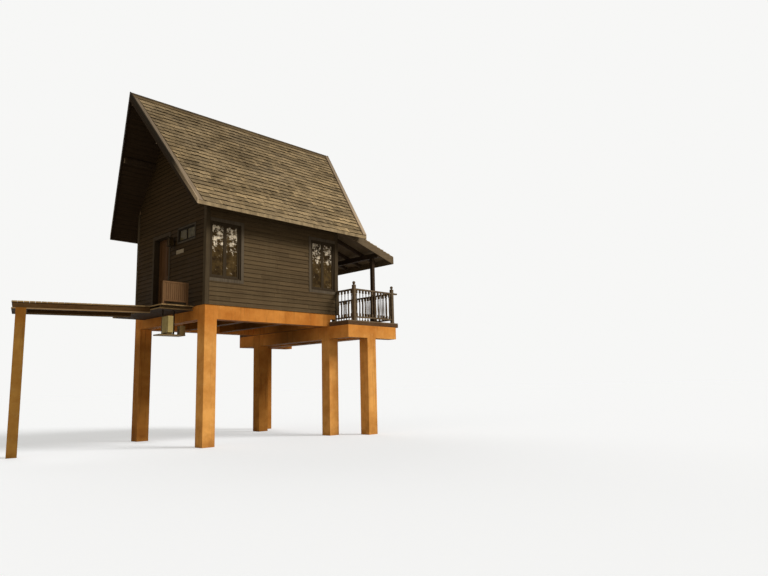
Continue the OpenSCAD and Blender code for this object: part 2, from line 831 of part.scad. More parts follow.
// The railing over one wing: along its front, past the corner post, and back to the wall
module wing_railing() {
    translate([0, rail_y[0], 0]) {
        railing_bay(rail_x[0] + post_w / 2, rail_x[1] - post_w / 2);
        block([rail_x[1] + post_w / 2, -rail_w / 2, rail_top - rail_t],
            [rail_x[1] + rail_over, rail_w / 2, rail_top]);
    }
    turned_to_y(rail_x[0]) railing_bay(rail_y[0] + post_w / 2, -corner_t);
}

module wing_railings() color(dark_board) house() {
    wing_railing();
    at_back() wing_railing();
}

// Half the width of the post that a bay of the river side ends at
function post_half(y) = len(search(y, lean_post_ys)) > 0 ? lean_post_w / 2 : post_w / 2;

module river_railing() color(dark_board) house() turned_to_y(rail_x[1])
    for (i = [0:len(river_post_ys) - 2])
        railing_bay(river_post_ys[i] + post_half(river_post_ys[i]),
            river_post_ys[i + 1] - post_half(river_post_ys[i + 1]));

module landing_deck() color(deck_wood) house()
    block([-landing_l, landing_y, -board_t], [-casing_t - 4, landing_end, 0]);

// Where the boards under the landing's joists start and end, and its joists too
landing_low_y = [landing_y + landing_low_in, landing_end - landing_low_in];
joist_y = landing_low_y + [landing_in, -landing_in - joist_w];

// Joists under the landing, and the boards that hold them below
module landing_frame() color(dark_board) house() {
    low_top = -landing_t + landing_low_t;
    for (i = [0:3]) {
        y = joist_y[0] + i * (joist_y[1] - joist_y[0]) / 3;
        block([-landing_l + landing_in, y, low_top], [0, y + joist_w, -board_t]);
    }
    block([-landing_l, landing_low_y[0], -landing_t], [0, landing_low_y[1], low_top]);
}

screen_x = -landing_l + 40;
screen_y = landing_y + 30;
slat_t = 22;
leg_w = 40;
// Share of a bay that its slat fills
slat_share = 0.84;

// A panel of upright slats between two legs, on the landing's front edge
module landing_screen() color(red_wood) house() {
    for (x = [screen_x, screen_x + screen_w - leg_w])
        block([x, screen_y, 0], [x + leg_w, screen_y + leg_w, screen_h]);
    for (z = [screen_gap, screen_h - leg_w])
        block([screen_x + leg_w, screen_y, z], [screen_x + screen_w - leg_w, screen_y + leg_w, z + leg_w]);
    bay = (screen_w - 2 * leg_w) / slat_count;
    y = screen_y + (leg_w - slat_t) / 2;
    for (i = [0:slat_count - 1]) {
        x = screen_x + leg_w + (i + (1 - slat_share) / 2) * bay;
        block([x, y, screen_gap + leg_w], [x + bay * slat_share, y + slat_t, screen_h - leg_w]);
    }
}

// Distance along the walkway to the near face of its post
walk_post_s = walk_l - walk_post_in - walk_post_w;

// Puts what is drawn from the walkway's start, with X against its direction and Y across it, in place
module on_walkway() translate([-landing_l, walk_y, 0]) rotate([0, 0, -walk_angle]) children();

// Plan of a strip of the walkway, from s0 to s1 along it and t0 to t1 across it
module walk_strip(s0, s1, t0, t1) rect([-s1, t0], [-s0, t1]);

// Extrudes strips between two levels, and cuts them off at the landing's edge
module walk_layer(low, high) intersection() {
    on_walkway() translate([0, 0, low]) linear_extrude(high - low) children();
    block([-landing_l - 2 * walk_l, 0, low - 1], [-landing_l, 2 * walk_l + body_w, high + 1]);
}

module walkway_deck() color(deck_wood) house()
    walk_layer(-board_t, 0) walk_strip(-walk_w, walk_l, 0, walk_w);

// Bearers and a wide one across them over the post, with boards below that stop at the post
module walkway_bearers() color(dark_board) house() {
    walk_layer(walk_low_t - walk_t, -board_t) {
        for (t = [bearer_in, walk_w - bearer_in - bearer_w])
            walk_strip(-walk_w, walk_l - bearer_in, t, t + bearer_w);
        walk_strip(walk_post_s - bearer_in, walk_l - bearer_in, bearer_in, walk_w - bearer_in);
    }
    walk_layer(-walk_t, walk_low_t - walk_t) {
        walk_strip(-walk_w, walk_post_s, 0, bearer_in + bearer_w);
        walk_strip(-walk_w, walk_l, walk_w - bearer_in - bearer_w, walk_w);
        walk_strip(walk_post_s + walk_post_w, walk_l, 0, walk_w);
    }
}

// The post stands at the walkway's front edge and reaches its bearers
module walkway_post() color(concrete) house() on_walkway()
    block([-walk_post_s - walk_post_w, 0, ground], [-walk_post_s, walk_post_w, walk_low_t - walk_t]);

lamp_out = 45;
lamp_base_h = 25;

// A square lamp held off the wall: a body between a base and a flared roof
module door_lamp() color(dark_board) house() {
    y = door_y - jamb_w - lamp_gap;
    translate([-lamp_out - lamp_w / 2, y, lamp_z]) {
        block([-lamp_w / 2, -lamp_w / 2, 0], [lamp_w / 2, lamp_w / 2, lamp_base_h]);
        block([-lamp_w * 0.4, -lamp_w * 0.4, lamp_base_h], [lamp_w * 0.4, lamp_w * 0.4, lamp_h * 0.75]);
        translate([0, 0, lamp_h * 0.75]) rotate([0, 0, 45])
            cylinder(r1 = lamp_w * 0.85, r2 = lamp_w * 0.12, h = lamp_h * 0.25, $fn = 4);
    }
    block([-lamp_out, y - lamp_out, lamp_z], [0, y + lamp_out, lamp_z + lamp_h * 0.7]);
}

// Distances of the shelf's end and front from the corner of the boards it hangs from
shelf_end_in = 35;
shelf_front_in = 20;
shelf_t = 30;
hanger_w = 40;
// Depths of the boxes, and their distances from the shelf's ends
tall_box_l = 330;
low_box_l = 150;
tall_box_in = 215;
low_box_in = 5;
// Height and width of the battens under the tall box
batten_h = 48;
batten_w = 40;

// A shelf that hangs from the landing on two hangers, with a tall box and a low one
module service_shelf() color(metal) house() {
    low = [-landing_l + shelf_end_in, landing_low_y[0] + shelf_front_in];
    high = low + [shelf_l, shelf_w];
    top = -landing_t - shelf_drop + shelf_t;
    block([low[0], low[1], top - shelf_t], [high[0], high[1], top]);
    tall_x = low[0] + tall_box_in;
    low_x = high[0] - low_box_in - low_box_w;
    for (x = [tall_x, low_x - hanger_w / 2])
        block([x, high[1] - shelf_t, top], [x + hanger_w, high[1], -landing_t]);
    box_z = top + batten_h;
    block([tall_x, low[1], box_z], [tall_x + tall_box_w, low[1] + tall_box_l, box_z + tall_box_h]);
    for (y = [low[1] + batten_w, low[1] + tall_box_l - 2 * batten_w])
        block([tall_x, y, top], [tall_x + tall_box_w, y + batten_w, box_z]);
    block([low_x, low[1], top], [low_x + low_box_w, low[1] + low_box_l, top + low_box_h]);
}

house_stilts();
veranda_stilts();
long_beams();
end_beams();
slab_ribs();
low_cross_beams();
veranda_beams();
floor_slab();
timber_floor();
front_wall();
back_wall();
entrance_wall_near();
entrance_wall_far();
entrance_gable();
river_wall_sides();
river_gable();
corner_boards();
window_frames();
window_casings();
casements();
window_glass();
door_frame();
entrance_door();
door_handle();
river_door_frame();
river_door();
front_roof();
back_roof();
ridge_cap();
bargeboards();
eave_boards();
purlins();
lean_to_roof();
lean_to_rafters();
lean_to_posts();
veranda_deck();
veranda_joists();
railing_posts();
wing_railings();
river_railing();
landing_deck();
landing_frame();
landing_screen();
walkway_deck();
walkway_bearers();
walkway_post();
door_lamp();
service_shelf();
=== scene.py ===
# The looks of the stilt house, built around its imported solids
import math
import random

import bmesh
import bpy
from mathutils import Matrix, Vector


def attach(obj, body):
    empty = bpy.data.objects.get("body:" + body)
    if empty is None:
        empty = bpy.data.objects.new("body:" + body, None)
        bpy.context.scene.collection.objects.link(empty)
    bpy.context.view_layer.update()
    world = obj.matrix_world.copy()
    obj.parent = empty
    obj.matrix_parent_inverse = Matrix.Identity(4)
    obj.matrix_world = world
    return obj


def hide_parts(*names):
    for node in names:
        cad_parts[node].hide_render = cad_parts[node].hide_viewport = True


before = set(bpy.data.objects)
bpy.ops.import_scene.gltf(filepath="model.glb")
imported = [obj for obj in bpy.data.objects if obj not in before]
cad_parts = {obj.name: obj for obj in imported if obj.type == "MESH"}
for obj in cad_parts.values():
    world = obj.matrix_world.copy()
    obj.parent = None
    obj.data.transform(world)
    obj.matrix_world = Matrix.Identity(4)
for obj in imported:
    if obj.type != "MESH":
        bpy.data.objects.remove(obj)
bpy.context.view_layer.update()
scene = bpy.context.scene
print("solids loaded:", len(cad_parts))

# Sizes in metres, from the walls' front left corner at the slab's top
house = {
    "corner": Vector((-0.175, -0.175, 3.6)),  # that corner's place in the frame
    "length": 4.55,
    "width": 3.95,
    "eaveHeight": 2.53,
    "ridgeHeight": 6.0,
    "eaveOut": 0.58,
    "vergeIn": 0.59,  # how far the eaves run past the entrance wall
    "vergeOut": 0.70,  # the same past the river wall
    "prow": 0.68,  # how much further the ridge runs at each end
    "roofThickness": 0.06,
}
midY = house["width"] / 2
ridgeY = midY + house["corner"].y  # the ridge's place in the frame
run = midY + house["eaveOut"]
pitch = math.atan2(house["ridgeHeight"] - house["eaveHeight"], run)
slopeLength = run / math.cos(pitch)
roofDepth = house["roofThickness"] / math.cos(pitch)  # the roof's thickness, measured upright


def roofEdgeY(height):  # how far in from the front wall's face the roof's underside is at that height
    return (height + roofDepth - house["eaveHeight"]) / math.tan(pitch) - house["eaveOut"]


def vergeX(share, end):  # where the verge stands at a share of the slope, at end 0 or 1
    if end:
        return house["length"] + house["vergeOut"] + house["prow"] * share
    return -house["vergeIn"] - house["prow"] * share


def newShape():  # its faces carry a shade, and whether they are a lower edge that gets painted shade
    bm = bmesh.new()
    bm.faces.layers.float.new("tint")
    bm.faces.layers.float.new("rim")
    return bm


def addBlock(bm, low, high, tint=0.5, rims=()):  # a box whose faces that face the ways in rims get painted shade
    made = bmesh.ops.create_cube(bm, size=1.0)["verts"]
    low, high = Vector(low), Vector(high)
    bmesh.ops.scale(bm, vec=high - low, verts=made)
    bmesh.ops.translate(bm, vec=(high + low) / 2, verts=made)
    shade, rim = bm.faces.layers.float.get("tint"), bm.faces.layers.float.get("rim")
    for face in {face for corner in made for face in corner.link_faces}:
        face[shade] = tint
        face.normal_update()
        face[rim] = 1.0 if any(face.normal.dot(Vector(side)) > 0.9 for side in rims) else 0.0
    return made


def addPost(bm, x, y, half, low, high):  # a square block around an upright line
    addBlock(bm, (x - half, y - half, low), (x + half, y + half, high))


def within(value, low, high):
    return min(max(value, low), high)


def softenEdges(bm, offset, segments=1):
    bmesh.ops.bevel(bm, geom=bm.edges[:], offset=offset, segments=segments, profile=0.5, affect="EDGES",
                    material=-1, clamp_overlap=True)


def addShape(bm, part, place):  # moves a part to its place and joins it to bm
    bmesh.ops.transform(part, matrix=place, verts=part.verts)
    if place.determinant() < 0:
        bmesh.ops.reverse_faces(part, faces=part.faces)
    mesh = bpy.data.meshes.new("part")
    part.to_mesh(mesh)
    part.free()
    bm.from_mesh(mesh)
    bpy.data.meshes.remove(mesh)


def placeOf(axes, origin):  # from its three axes and its origin
    place = Matrix([Vector(axis) for axis in axes]).transposed().to_4x4()
    place.translation = Vector(origin)
    return place


def evenRows(start, end, count):  # where rows of one width start and end
    step = (end - start) / count
    return [(start + index * step, start + (index + 1) * step) for index in range(count)]


materials = {}  # by their names


def finishPiece(bm, name, look, replaced=()):
    mesh = bpy.data.meshes.new(name)
    bm.to_mesh(mesh)
    bm.free()
    mesh.transform(Matrix.Translation(house["corner"]))
    mesh.materials.append(materials[look])
    piece = bpy.data.objects.new(name, mesh)
    scene.collection.objects.link(piece)
    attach(piece, "house")
    if replaced:
        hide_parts(*replaced)


# Nodes, node groups and materials
def fillSockets(tree, node, values):  # with links, numbers, vectors and colours
    for key, value in values.items():
        socket = node.inputs[key]
        if isinstance(value, bpy.types.NodeSocket):
            tree.links.new(value, socket)
        else:
            socket.default_value = (*value, 1) if socket.type == "RGBA" else value


def addNode(tree, kind, settings=None, values=None):
    node = tree.nodes.new(kind)
    for key, value in (settings or {}).items():
        setattr(node, key, value)
    fillSockets(tree, node, values or {})
    return node


def newGroup(name, inputs, outputs):  # with sockets by name and kind
    group = bpy.data.node_groups.new(name, "ShaderNodeTree")
    for direction, sockets in (("INPUT", inputs), ("OUTPUT", outputs)):
        for label, kind in sockets.items():
            group.interface.new_socket(name=label, in_out=direction, socket_type="NodeSocket" + kind)
    return group, group.nodes.new("NodeGroupInput").outputs, group.nodes.new("NodeGroupOutput")


def mathNode(tree, operation, *values, clamp=False):
    settings = {"operation": operation, "use_clamp": clamp}
    return addNode(tree, "ShaderNodeMath", settings, dict(enumerate(values))).outputs[0]


def times(tree, first, second):
    return mathNode(tree, "MULTIPLY", first, second)


def above(tree, value, level):  # 1 above the level, 0 below it
    return mathNode(tree, "GREATER_THAN", value, level)


def mapRange(tree, value, *spans):  # from the first two numbers to the last two, or else to 0 and 1
    return addNode(tree, "ShaderNodeMapRange", None, dict(enumerate((value, *spans)))).outputs[0]


def mixColours(tree, factor, first, second):
    return addNode(tree, "ShaderNodeMix", {"data_type": "RGBA"}, {0: factor, 6: first, 7: second}).outputs[2]


def scaleColour(tree, colour, factor):
    values = {0: colour, "Scale": factor}
    return addNode(tree, "ShaderNodeVectorMath", {"operation": "SCALE"}, values).outputs[0]


def noise(tree, vector, scale, detail=4, roughness=0.55, distortion=0.0):
    values = {"Scale": scale, "Detail": detail, "Roughness": roughness, "Distortion": distortion}
    return addNode(tree, "ShaderNodeTexNoise", None, {"Vector": vector, **values}).outputs[0]


def patches(tree, vector, texture, span, most=1.0):  # a noise's mask, from 0 to the most along the span
    return mapRange(tree, noise(tree, vector, *texture), *span, 0.0, most)


def stretched(tree, vector, scale):
    return addNode(tree, "ShaderNodeMapping", None, {"Vector": vector, "Scale": scale}).outputs[0]


def axesOf(tree, vector):  # its X, Y and Z
    return tuple(addNode(tree, "ShaderNodeSeparateXYZ", None, {0: vector}).outputs)


def offRidge(tree, across):  # how far a place along Y is from the ridge's
    return mathNode(tree, "ABSOLUTE", mathNode(tree, "SUBTRACT", across, ridgeY))


def facingDown(tree):  # 1 on undersides, which get painted shade
    normal = addNode(tree, "ShaderNodeNewGeometry").outputs["Normal"]
    return mathNode(tree, "LESS_THAN", axesOf(tree, normal)[2], -0.5)


gableReach = 1.7  # the openings in the gable walls are nearer to the ridge's place than this


def onLongWalls(tree, place):  # 1 on the front and back walls, 0 on the gable walls, whose woods and panes get painted shade
    return above(tree, offRidge(tree, axesOf(tree, place)[1]), gableReach)


# A noise is given by its scale, detail and roughness, and a span by where a mask starts and is full
grain = {
    "broad": (1.0, 5, 0.6, 0.4),  # the last number distorts it
    "fine": (4.2, 4, 0.65),
    "share": 0.6,  # of the broad one
    "span": (0.36, 0.64),
}


def makeGrainGroup():  # fibres along the board, from coordinates that are already stretched
    tree, given, result = newGroup("wood grain", {"Vector": "Vector", "Light": "Color", "Dark": "Color"},
                                   {"Color": "Color", "Height": "Float"})
    place = given["Vector"]
    broad = times(tree, noise(tree, place, *grain["broad"]), grain["share"])
    fine = times(tree, noise(tree, place, *grain["fine"]), 1 - grain["share"])
    height = mathNode(tree, "ADD", broad, fine)
    lightness = mapRange(tree, height, *grain["span"])
    colour = mixColours(tree, lightness, given["Dark"], given["Light"])
    fillSockets(tree, result, {"Color": colour, "Height": height})
    return tree


weathering = {
    "patches": ((1.1, 6, 0.6), (0.42, 0.68)),
    "runs": ((1.0, 4, 0.6), (0.48, 0.72)),
    "runStretch": (9.0, 9.0, 0.55),
    "share": 0.6,  # of the patches
    "roughness": (0.62, 0.88),
}


def makeWeatherGroup():  # bleached and dusty patches, and faint runs of rain down upright faces
    tree, given, result = newGroup(
        "weathering", {"Vector": "Vector", "Color": "Color", "Dust": "Color", "Amount": "Float"},
        {"Color": "Color", "Roughness": "Float"})
    place = given["Vector"]
    bleached = patches(tree, place, *weathering["patches"])
    runs = patches(tree, stretched(tree, place, weathering["runStretch"]), *weathering["runs"])
    share = weathering["share"]
    mask = mathNode(tree, "ADD", times(tree, bleached, share), times(tree, runs, 1 - share))
    amount = times(tree, mask, given["Amount"])
    colour = mixColours(tree, amount, given["Color"], given["Dust"])
    rough = mapRange(tree, mask, 0.0, 1.0, *weathering["roughness"])
    fillSockets(tree, result, {"Color": colour, "Roughness": rough})
    return tree


def makeTintGroup():  # makes each board or shingle lighter or darker than its neighbours
    tree, given, result = newGroup("piece tint", {"Color": "Color", "Spread": "Float"}, {"Color": "Color"})
    shade = addNode(tree, "ShaderNodeAttribute", {"attribute_name": "tint"}).outputs["Fac"]
    offset = times(tree, mathNode(tree, "SUBTRACT", shade, 0.5), 2.0)
    factor = mathNode(tree, "ADD", times(tree, offset, given["Spread"]), 1.0)
    fillSockets(tree, result, {"Color": scaleColour(tree, given["Color"], factor)})
    return tree


def makeSlopeGroup():  # turns coordinates so that Y runs up either roof slope, and Z off it
    tree, given, result = newGroup("slope space", {"Vector": "Vector"}, {"Vector": "Vector"})
    along, across, height = axesOf(tree, given["Vector"])
    inward = offRidge(tree, across)
    rise, reach = math.sin(pitch), math.cos(pitch)
    up = mathNode(tree, "SUBTRACT", times(tree, height, rise), times(tree, inward, reach))
    out = mathNode(tree, "ADD", times(tree, height, reach), times(tree, inward, rise))
    joined = addNode(tree, "ShaderNodeCombineXYZ", None, {0: along, 1: up, 2: out})
    fillSockets(tree, result, {"Vector": joined.outputs[0]})
    return tree


grainGroup, weatherGroup = makeGrainGroup(), makeWeatherGroup()
tintGroup, slopeGroup = makeTintGroup(), makeSlopeGroup()


def placeGroup(tree, group, values):
    return addNode(tree, "ShaderNodeGroup", {"node_tree": group}, values)


def newMaterial(name):
    materials[name] = bpy.data.materials.new(name)
    materials[name].use_nodes = True
    tree = materials[name].node_tree
    return tree, tree.nodes["Principled BSDF"], addNode(tree, "ShaderNodeTexCoord").outputs["Object"]


def addBump(tree, shader, height, strength, distance):
    values = {"Strength": strength, "Distance": distance, "Height": height}
    bump = addNode(tree, "ShaderNodeBump", None, values)
    fillSockets(tree, shader, {"Normal": bump.outputs[0]})


# Every wood has a light, a dark and a dust tone, and dusty, the share of dust. Grain is the stretch of the
# fibres along X, Y and Z, and slope turns them up the roof. Spread is how far the pieces' shades differ, and
# edge the share of the dark colour on lower edges, painted shade under each board's and shingle's butt.
# Streaks is the stretch of broad bands. slopeLightAndShade and fadedAndLit give two places, up the slope or
# along X, and the shares of the colour at each: painted light and shade on the roof, the verges, the ridge
# and the bargeboards. sheltered is the share on the gable walls, painted shade there. Below the ledge's
# level the colour is another one: painted shade on the bargeboards' lower band, and a pale band on the
# walkway's bearers. Under is the colour of undersides, painted shade. Boards gives the axis and the step of
# drawn gaps, for linings that are seen only through an opening or from below. Gloss is a coat of varnish.
woods = {
    "siding boards": {
        "tones": ((0.129, 0.088, 0.045), (0.059, 0.039, 0.020), (0.162, 0.123, 0.070)),
        "dusty": 0.4, "grain": (1.6, 1.6, 60), "spread": 0.15, "bump": 0.35, "edge": 0.30},
    # the gable walls' boards: darker tones, painted shade
    "sheltered boards": {
        "tones": ((0.060, 0.036, 0.017), (0.026, 0.016, 0.006), (0.072, 0.049, 0.024)),
        "dusty": 0.25, "grain": (1.6, 1.6, 60), "spread": 0.13, "bump": 0.35, "edge": 0.50},
    "corner wood": {
        "tones": ((0.083, 0.059, 0.033), (0.043, 0.030, 0.017), (0.121, 0.096, 0.060)),
        "dusty": 0.45, "grain": (42, 42, 1.6), "bump": 0.3},
    "trim boards": {
        "tones": ((0.126, 0.098, 0.069), (0.066, 0.052, 0.034), (0.187, 0.160, 0.122)),
        "dusty": 0.45, "grain": (42, 42, 1.6), "bump": 0.3, "sheltered": 0.5},
    "sash wood": {
        "tones": ((0.064, 0.047, 0.028), (0.034, 0.024, 0.014), (0.084, 0.064, 0.040)),
        "dusty": 0.2, "grain": (40, 40, 2), "bump": 0.25, "sheltered": 0.35},
    "frame wood": {
        "tones": ((0.060, 0.042, 0.025), (0.030, 0.021, 0.012), (0.093, 0.069, 0.043)),
        "dusty": 0.35, "grain": (40, 40, 2), "bump": 0.25},
    "window wood": {
        "tones": ((0.060, 0.042, 0.025), (0.030, 0.021, 0.012), (0.060, 0.044, 0.027)),
        "dusty": 0.2, "grain": (40, 40, 2), "bump": 0.25, "sheltered": 0.35},
    "dark timber": {
        "tones": ((0.062, 0.040, 0.024), (0.030, 0.019, 0.012), (0.095, 0.068, 0.043)),
        "dusty": 0.35, "grain": (7, 7, 24), "bump": 0.3},
    # the bargeboards: painted shade on their upper reach and on their lower band
    "grey timber": {
        "tones": ((0.572, 0.448, 0.299), (0.306, 0.232, 0.155), (0.713, 0.596, 0.429)),
        "dusty": 0.02, "grain": (36, 1.5, 36), "slope": True, "bump": 0.35,
        "slopeLightAndShade": (3.5, 4.9, 1.0, 0.07), "ledge": (5.645, (0.030, 0.020, 0.012))},
    # painted light on the verge boards' lower reach
    "verge wood": {
        "tones": ((0.352, 0.273, 0.189), (0.194, 0.148, 0.101), (0.422, 0.343, 0.251)),
        "dusty": 0.2, "grain": (36, 1.5, 36), "slope": True, "spread": 0.3, "bump": 0.35,
        "slopeLightAndShade": (3.4, 7.0, 1.3, 0.70)},
    "eave wood": {
        "tones": ((0.400, 0.303, 0.178), (0.225, 0.168, 0.092), (0.460, 0.375, 0.250)),
        "dusty": 0.3, "grain": (1.5, 40, 40), "bump": 0.3, "streaks": (8, 2, 2),
        "under": (0.030, 0.017, 0.007)},
    "eave timber": {
        "tones": ((0.19, 0.140, 0.086), (0.095, 0.068, 0.041), (0.24, 0.19, 0.125)),
        "dusty": 0.5, "grain": (1.5, 40, 40), "bump": 0.35},
    "railing wood": {
        "tones": ((0.17, 0.122, 0.075), (0.085, 0.060, 0.036), (0.23, 0.18, 0.12)),
        "dusty": 0.5, "grain": (10, 10, 14), "bump": 0.25},
    # painted light: paler towards the eave and towards the river end
    "shingle wood": {
        "tones": ((0.280, 0.207, 0.116), (0.156, 0.114, 0.060), (0.404, 0.325, 0.221)),
        "dusty": 0.34, "grain": (70, 3, 70), "slope": True, "spread": 0.42, "bump": 0.35, "edge": 0.22,
        "streaks": (1.1, 2.6, 2.6), "slopeLightAndShade": (3.4, 7.7, 1.24, 0.80), "fadedAndLit": (2.4, 5.2, 1.0, 1.36)},
    # painted light on the ridge wings' lower half, painted shade on their top
    "ridge wood": {
        "tones": ((0.105, 0.075, 0.040), (0.055, 0.038, 0.020), (0.15, 0.115, 0.065)),
        "dusty": 0.4, "grain": (3, 40, 40), "slope": True, "spread": 0.3, "bump": 0.35,
        "slopeLightAndShade": (7.62, 7.68, 2.2, 0.8)},
    "soffit boards": {
        "tones": ((0.060, 0.038, 0.022), (0.028, 0.018, 0.010), (0.080, 0.056, 0.034)),
        "dusty": 0.3, "grain": (1.5, 40, 40), "slope": True, "bump": 0.3, "boards": (1, 0.14)},
    "lining boards": {
        "tones": ((0.22, 0.145, 0.082), (0.13, 0.083, 0.046), (0.24, 0.17, 0.11)),
        "dusty": 0.2, "grain": (26, 26, 1.4), "bump": 0.25, "boards": (2, 0.16)},
    "deck wood": {
        "tones": ((0.22, 0.150, 0.088), (0.11, 0.073, 0.042), (0.27, 0.21, 0.145)),
        "dusty": 0.5, "grain": (1.6, 34, 34), "spread": 0.22, "bump": 0.4},
    "landing wood": {
        "tones": ((0.391, 0.262, 0.121), (0.193, 0.124, 0.055), (0.494, 0.368, 0.204)),
        "dusty": 0.5, "grain": (34, 1.6, 34), "spread": 0.22, "bump": 0.4,
        "under": (0.035, 0.022, 0.013)},
    "floor wood": {
        "tones": ((0.25, 0.155, 0.085), (0.14, 0.086, 0.046), (0.27, 0.19, 0.12)),
        "dusty": 0.2, "grain": (1.4, 30, 30), "bump": 0.2, "boards": (1, 0.12)},
    "bearer wood": {
        "tones": ((0.135, 0.072, 0.034), (0.065, 0.034, 0.016), (0.17, 0.112, 0.066)),
        "dusty": 0.4, "grain": (5, 5, 30), "bump": 0.35, "under": (0.035, 0.022, 0.013)},
    "walkway wood": {
        "tones": ((0.111, 0.056, 0.020), (0.054, 0.027, 0.009), (0.140, 0.087, 0.038)),
        "dusty": 0.4, "grain": (5, 5, 30), "bump": 0.35, "under": (0.035, 0.022, 0.013),
        "ledge": (3.4405, (0.30, 0.20, 0.105))},
    "door wood": {
        "tones": ((0.113, 0.055, 0.022), (0.060, 0.028, 0.011), (0.136, 0.084, 0.041)),
        "dusty": 0.15, "grain": (38, 38, 1.8), "bump": 0.2, "gloss": 0.03},
    "screen wood": {
        "tones": ((0.190, 0.102, 0.046), (0.110, 0.057, 0.025), (0.224, 0.140, 0.075)),
        "dusty": 0.35, "grain": (44, 44, 1.8), "bump": 0.3},
}

woodSurface = {
    "bands": ((1.0, 4, 0.6), (0.36, 0.64), (0.64, 1.24)),  # the streaks' noise, its span and the shades there
    "gap": 0.006,
    "gapShade": 0.3,  # share of the dark colour that is left in a drawn gap
    "specular": 0.026,
    "depth": 0.004,
}


def drawnGaps(tree, value, step):  # 1 in the gaps between boards, 0 on them
    aboveZero = mathNode(tree, "ADD", value, 100.0)
    return mathNode(tree, "LESS_THAN", mathNode(tree, "MODULO", aboveZero, step), woodSurface["gap"])


def makeWood(name, look):
    tree, shader, place = newMaterial(name)
    space = placeGroup(tree, slopeGroup, {"Vector": place}).outputs[0] if look.get("slope") else place
    axes = axesOf(tree, space)
    light, dark, dust = look["tones"]
    fibres = placeGroup(tree, grainGroup, {
        "Vector": stretched(tree, space, look["grain"]), "Light": light, "Dark": dark})
    colour = fibres.outputs["Color"]
    if "spread" in look:
        colour = placeGroup(tree, tintGroup, {"Color": colour, "Spread": look["spread"]}).outputs[0]
    if "streaks" in look:
        texture, span, shades = woodSurface["bands"]
        band = noise(tree, stretched(tree, space, look["streaks"]), *texture)
        colour = scaleColour(tree, colour, mapRange(tree, band, *span, *shades))
    # painted light and shade: the colour scaled up the slope and along X
    for key, axis in (("slopeLightAndShade", 1), ("fadedAndLit", 0)):
        if key in look:
            colour = scaleColour(tree, colour, mapRange(tree, axes[axis], *look[key]))
    # painted shade on the gable walls
    if "sheltered" in look:
        share = mapRange(tree, onLongWalls(tree, place), 0.0, 1.0, look["sheltered"], 1.0)
        colour = scaleColour(tree, colour, share)
    # below the ledge's level: painted shade on the bargeboards' lower band, a pale band on the walkway's
    # bearers
    if "ledge" in look:
        level, covered = look["ledge"]
        colour = mixColours(tree, mathNode(tree, "LESS_THAN", axes[2], level), colour, covered)
    weather = placeGroup(tree, weatherGroup, {
        "Vector": place, "Color": colour, "Dust": dust, "Amount": look["dusty"]})
    colour, height = weather.outputs["Color"], fibres.outputs["Height"]
    # painted shade on the lower edges, under each board's and shingle's butt
    if "edge" in look:
        rim = addNode(tree, "ShaderNodeAttribute", {"attribute_name": "rim"}).outputs["Fac"]
        colour = mixColours(tree, rim, colour, tuple(look["edge"] * part for part in dark))
    if "boards" in look:
        axis, step = look["boards"]
        value = mathNode(tree, "ADD", axes[0], axes[1]) if axis == 2 else axes[axis]
        gap = drawnGaps(tree, value, step)
        colour = mixColours(tree, gap, colour, tuple(woodSurface["gapShade"] * part for part in dark))
        height = mathNode(tree, "SUBTRACT", height, gap)
    # painted shade on undersides
    if "under" in look:
        colour = mixColours(tree, facingDown(tree), colour, look["under"])
    fillSockets(tree, shader, {
        "Base Color": colour, "Roughness": weather.outputs["Roughness"],
        "Specular IOR Level": woodSurface["specular"], "Coat Weight": look.get("gloss", 0.0)})
    addBump(tree, shader, height, look["bump"], woodSurface["depth"])


paint = {
    "bright": (0.71, 0.292, 0.060),
    "deep": (0.50, 0.175, 0.029),
    "chalk": (0.70, 0.350, 0.110),
    "stain": (0.25, 0.090, 0.019),
    "blotches": ((1.7, 7, 0.62), (0.36, 0.66)),
    "chalky": ((6.0, 6, 0.7), (0.55, 0.78), 0.55),  # the last number is how strong it gets
    "streaks": ((1.0, 5, 0.62), (0.56, 0.8), 0.75),
    "streakStretch": (13.0, 13.0, 0.8),
    "splash": (0.7, 0.55),  # how high the dirt at the feet reaches, and how strong it is at the bottom
    "stiltTops": (2.70, 3.15),  # the stilts' colour turns into the beams' between these levels
    "low": (1.21, 1.46, 1.90),  # how much paler the stilts are than the beams: painted light
    "far": (0.685, 0.726, 0.741),  # the same for the stilts at the back: painted shade
    "farFrom": 3.2,  # where those start along Y
    "under": 0.4,  # share of the colour that is left on undersides: painted shade
    "inner": (0.3, 1.5, 1.0, 0.42),  # painted shade under the house: distances in from its long walls, and the shares there
    "innerFrom": 0.3,  # that starts behind the entrance end's beam, so many metres along X
    "roughness": (0.62, 0.85),  # of the paint and of the chalk
    "specular": 0.026,
    "pits": (34.0, 5, 0.7),
    "waves": 0.8,  # how much the blotches stand out beside the pits
    "bump": (0.22, 0.004),
}
# Tones of the paint, of which the shaded one is painted shade, for the ribs under the slab and for the
# walkway's post
concretes = {"painted concrete": (1.0, 1.0, 1.0), "dull painted concrete": (0.38, 0.40, 0.34)}


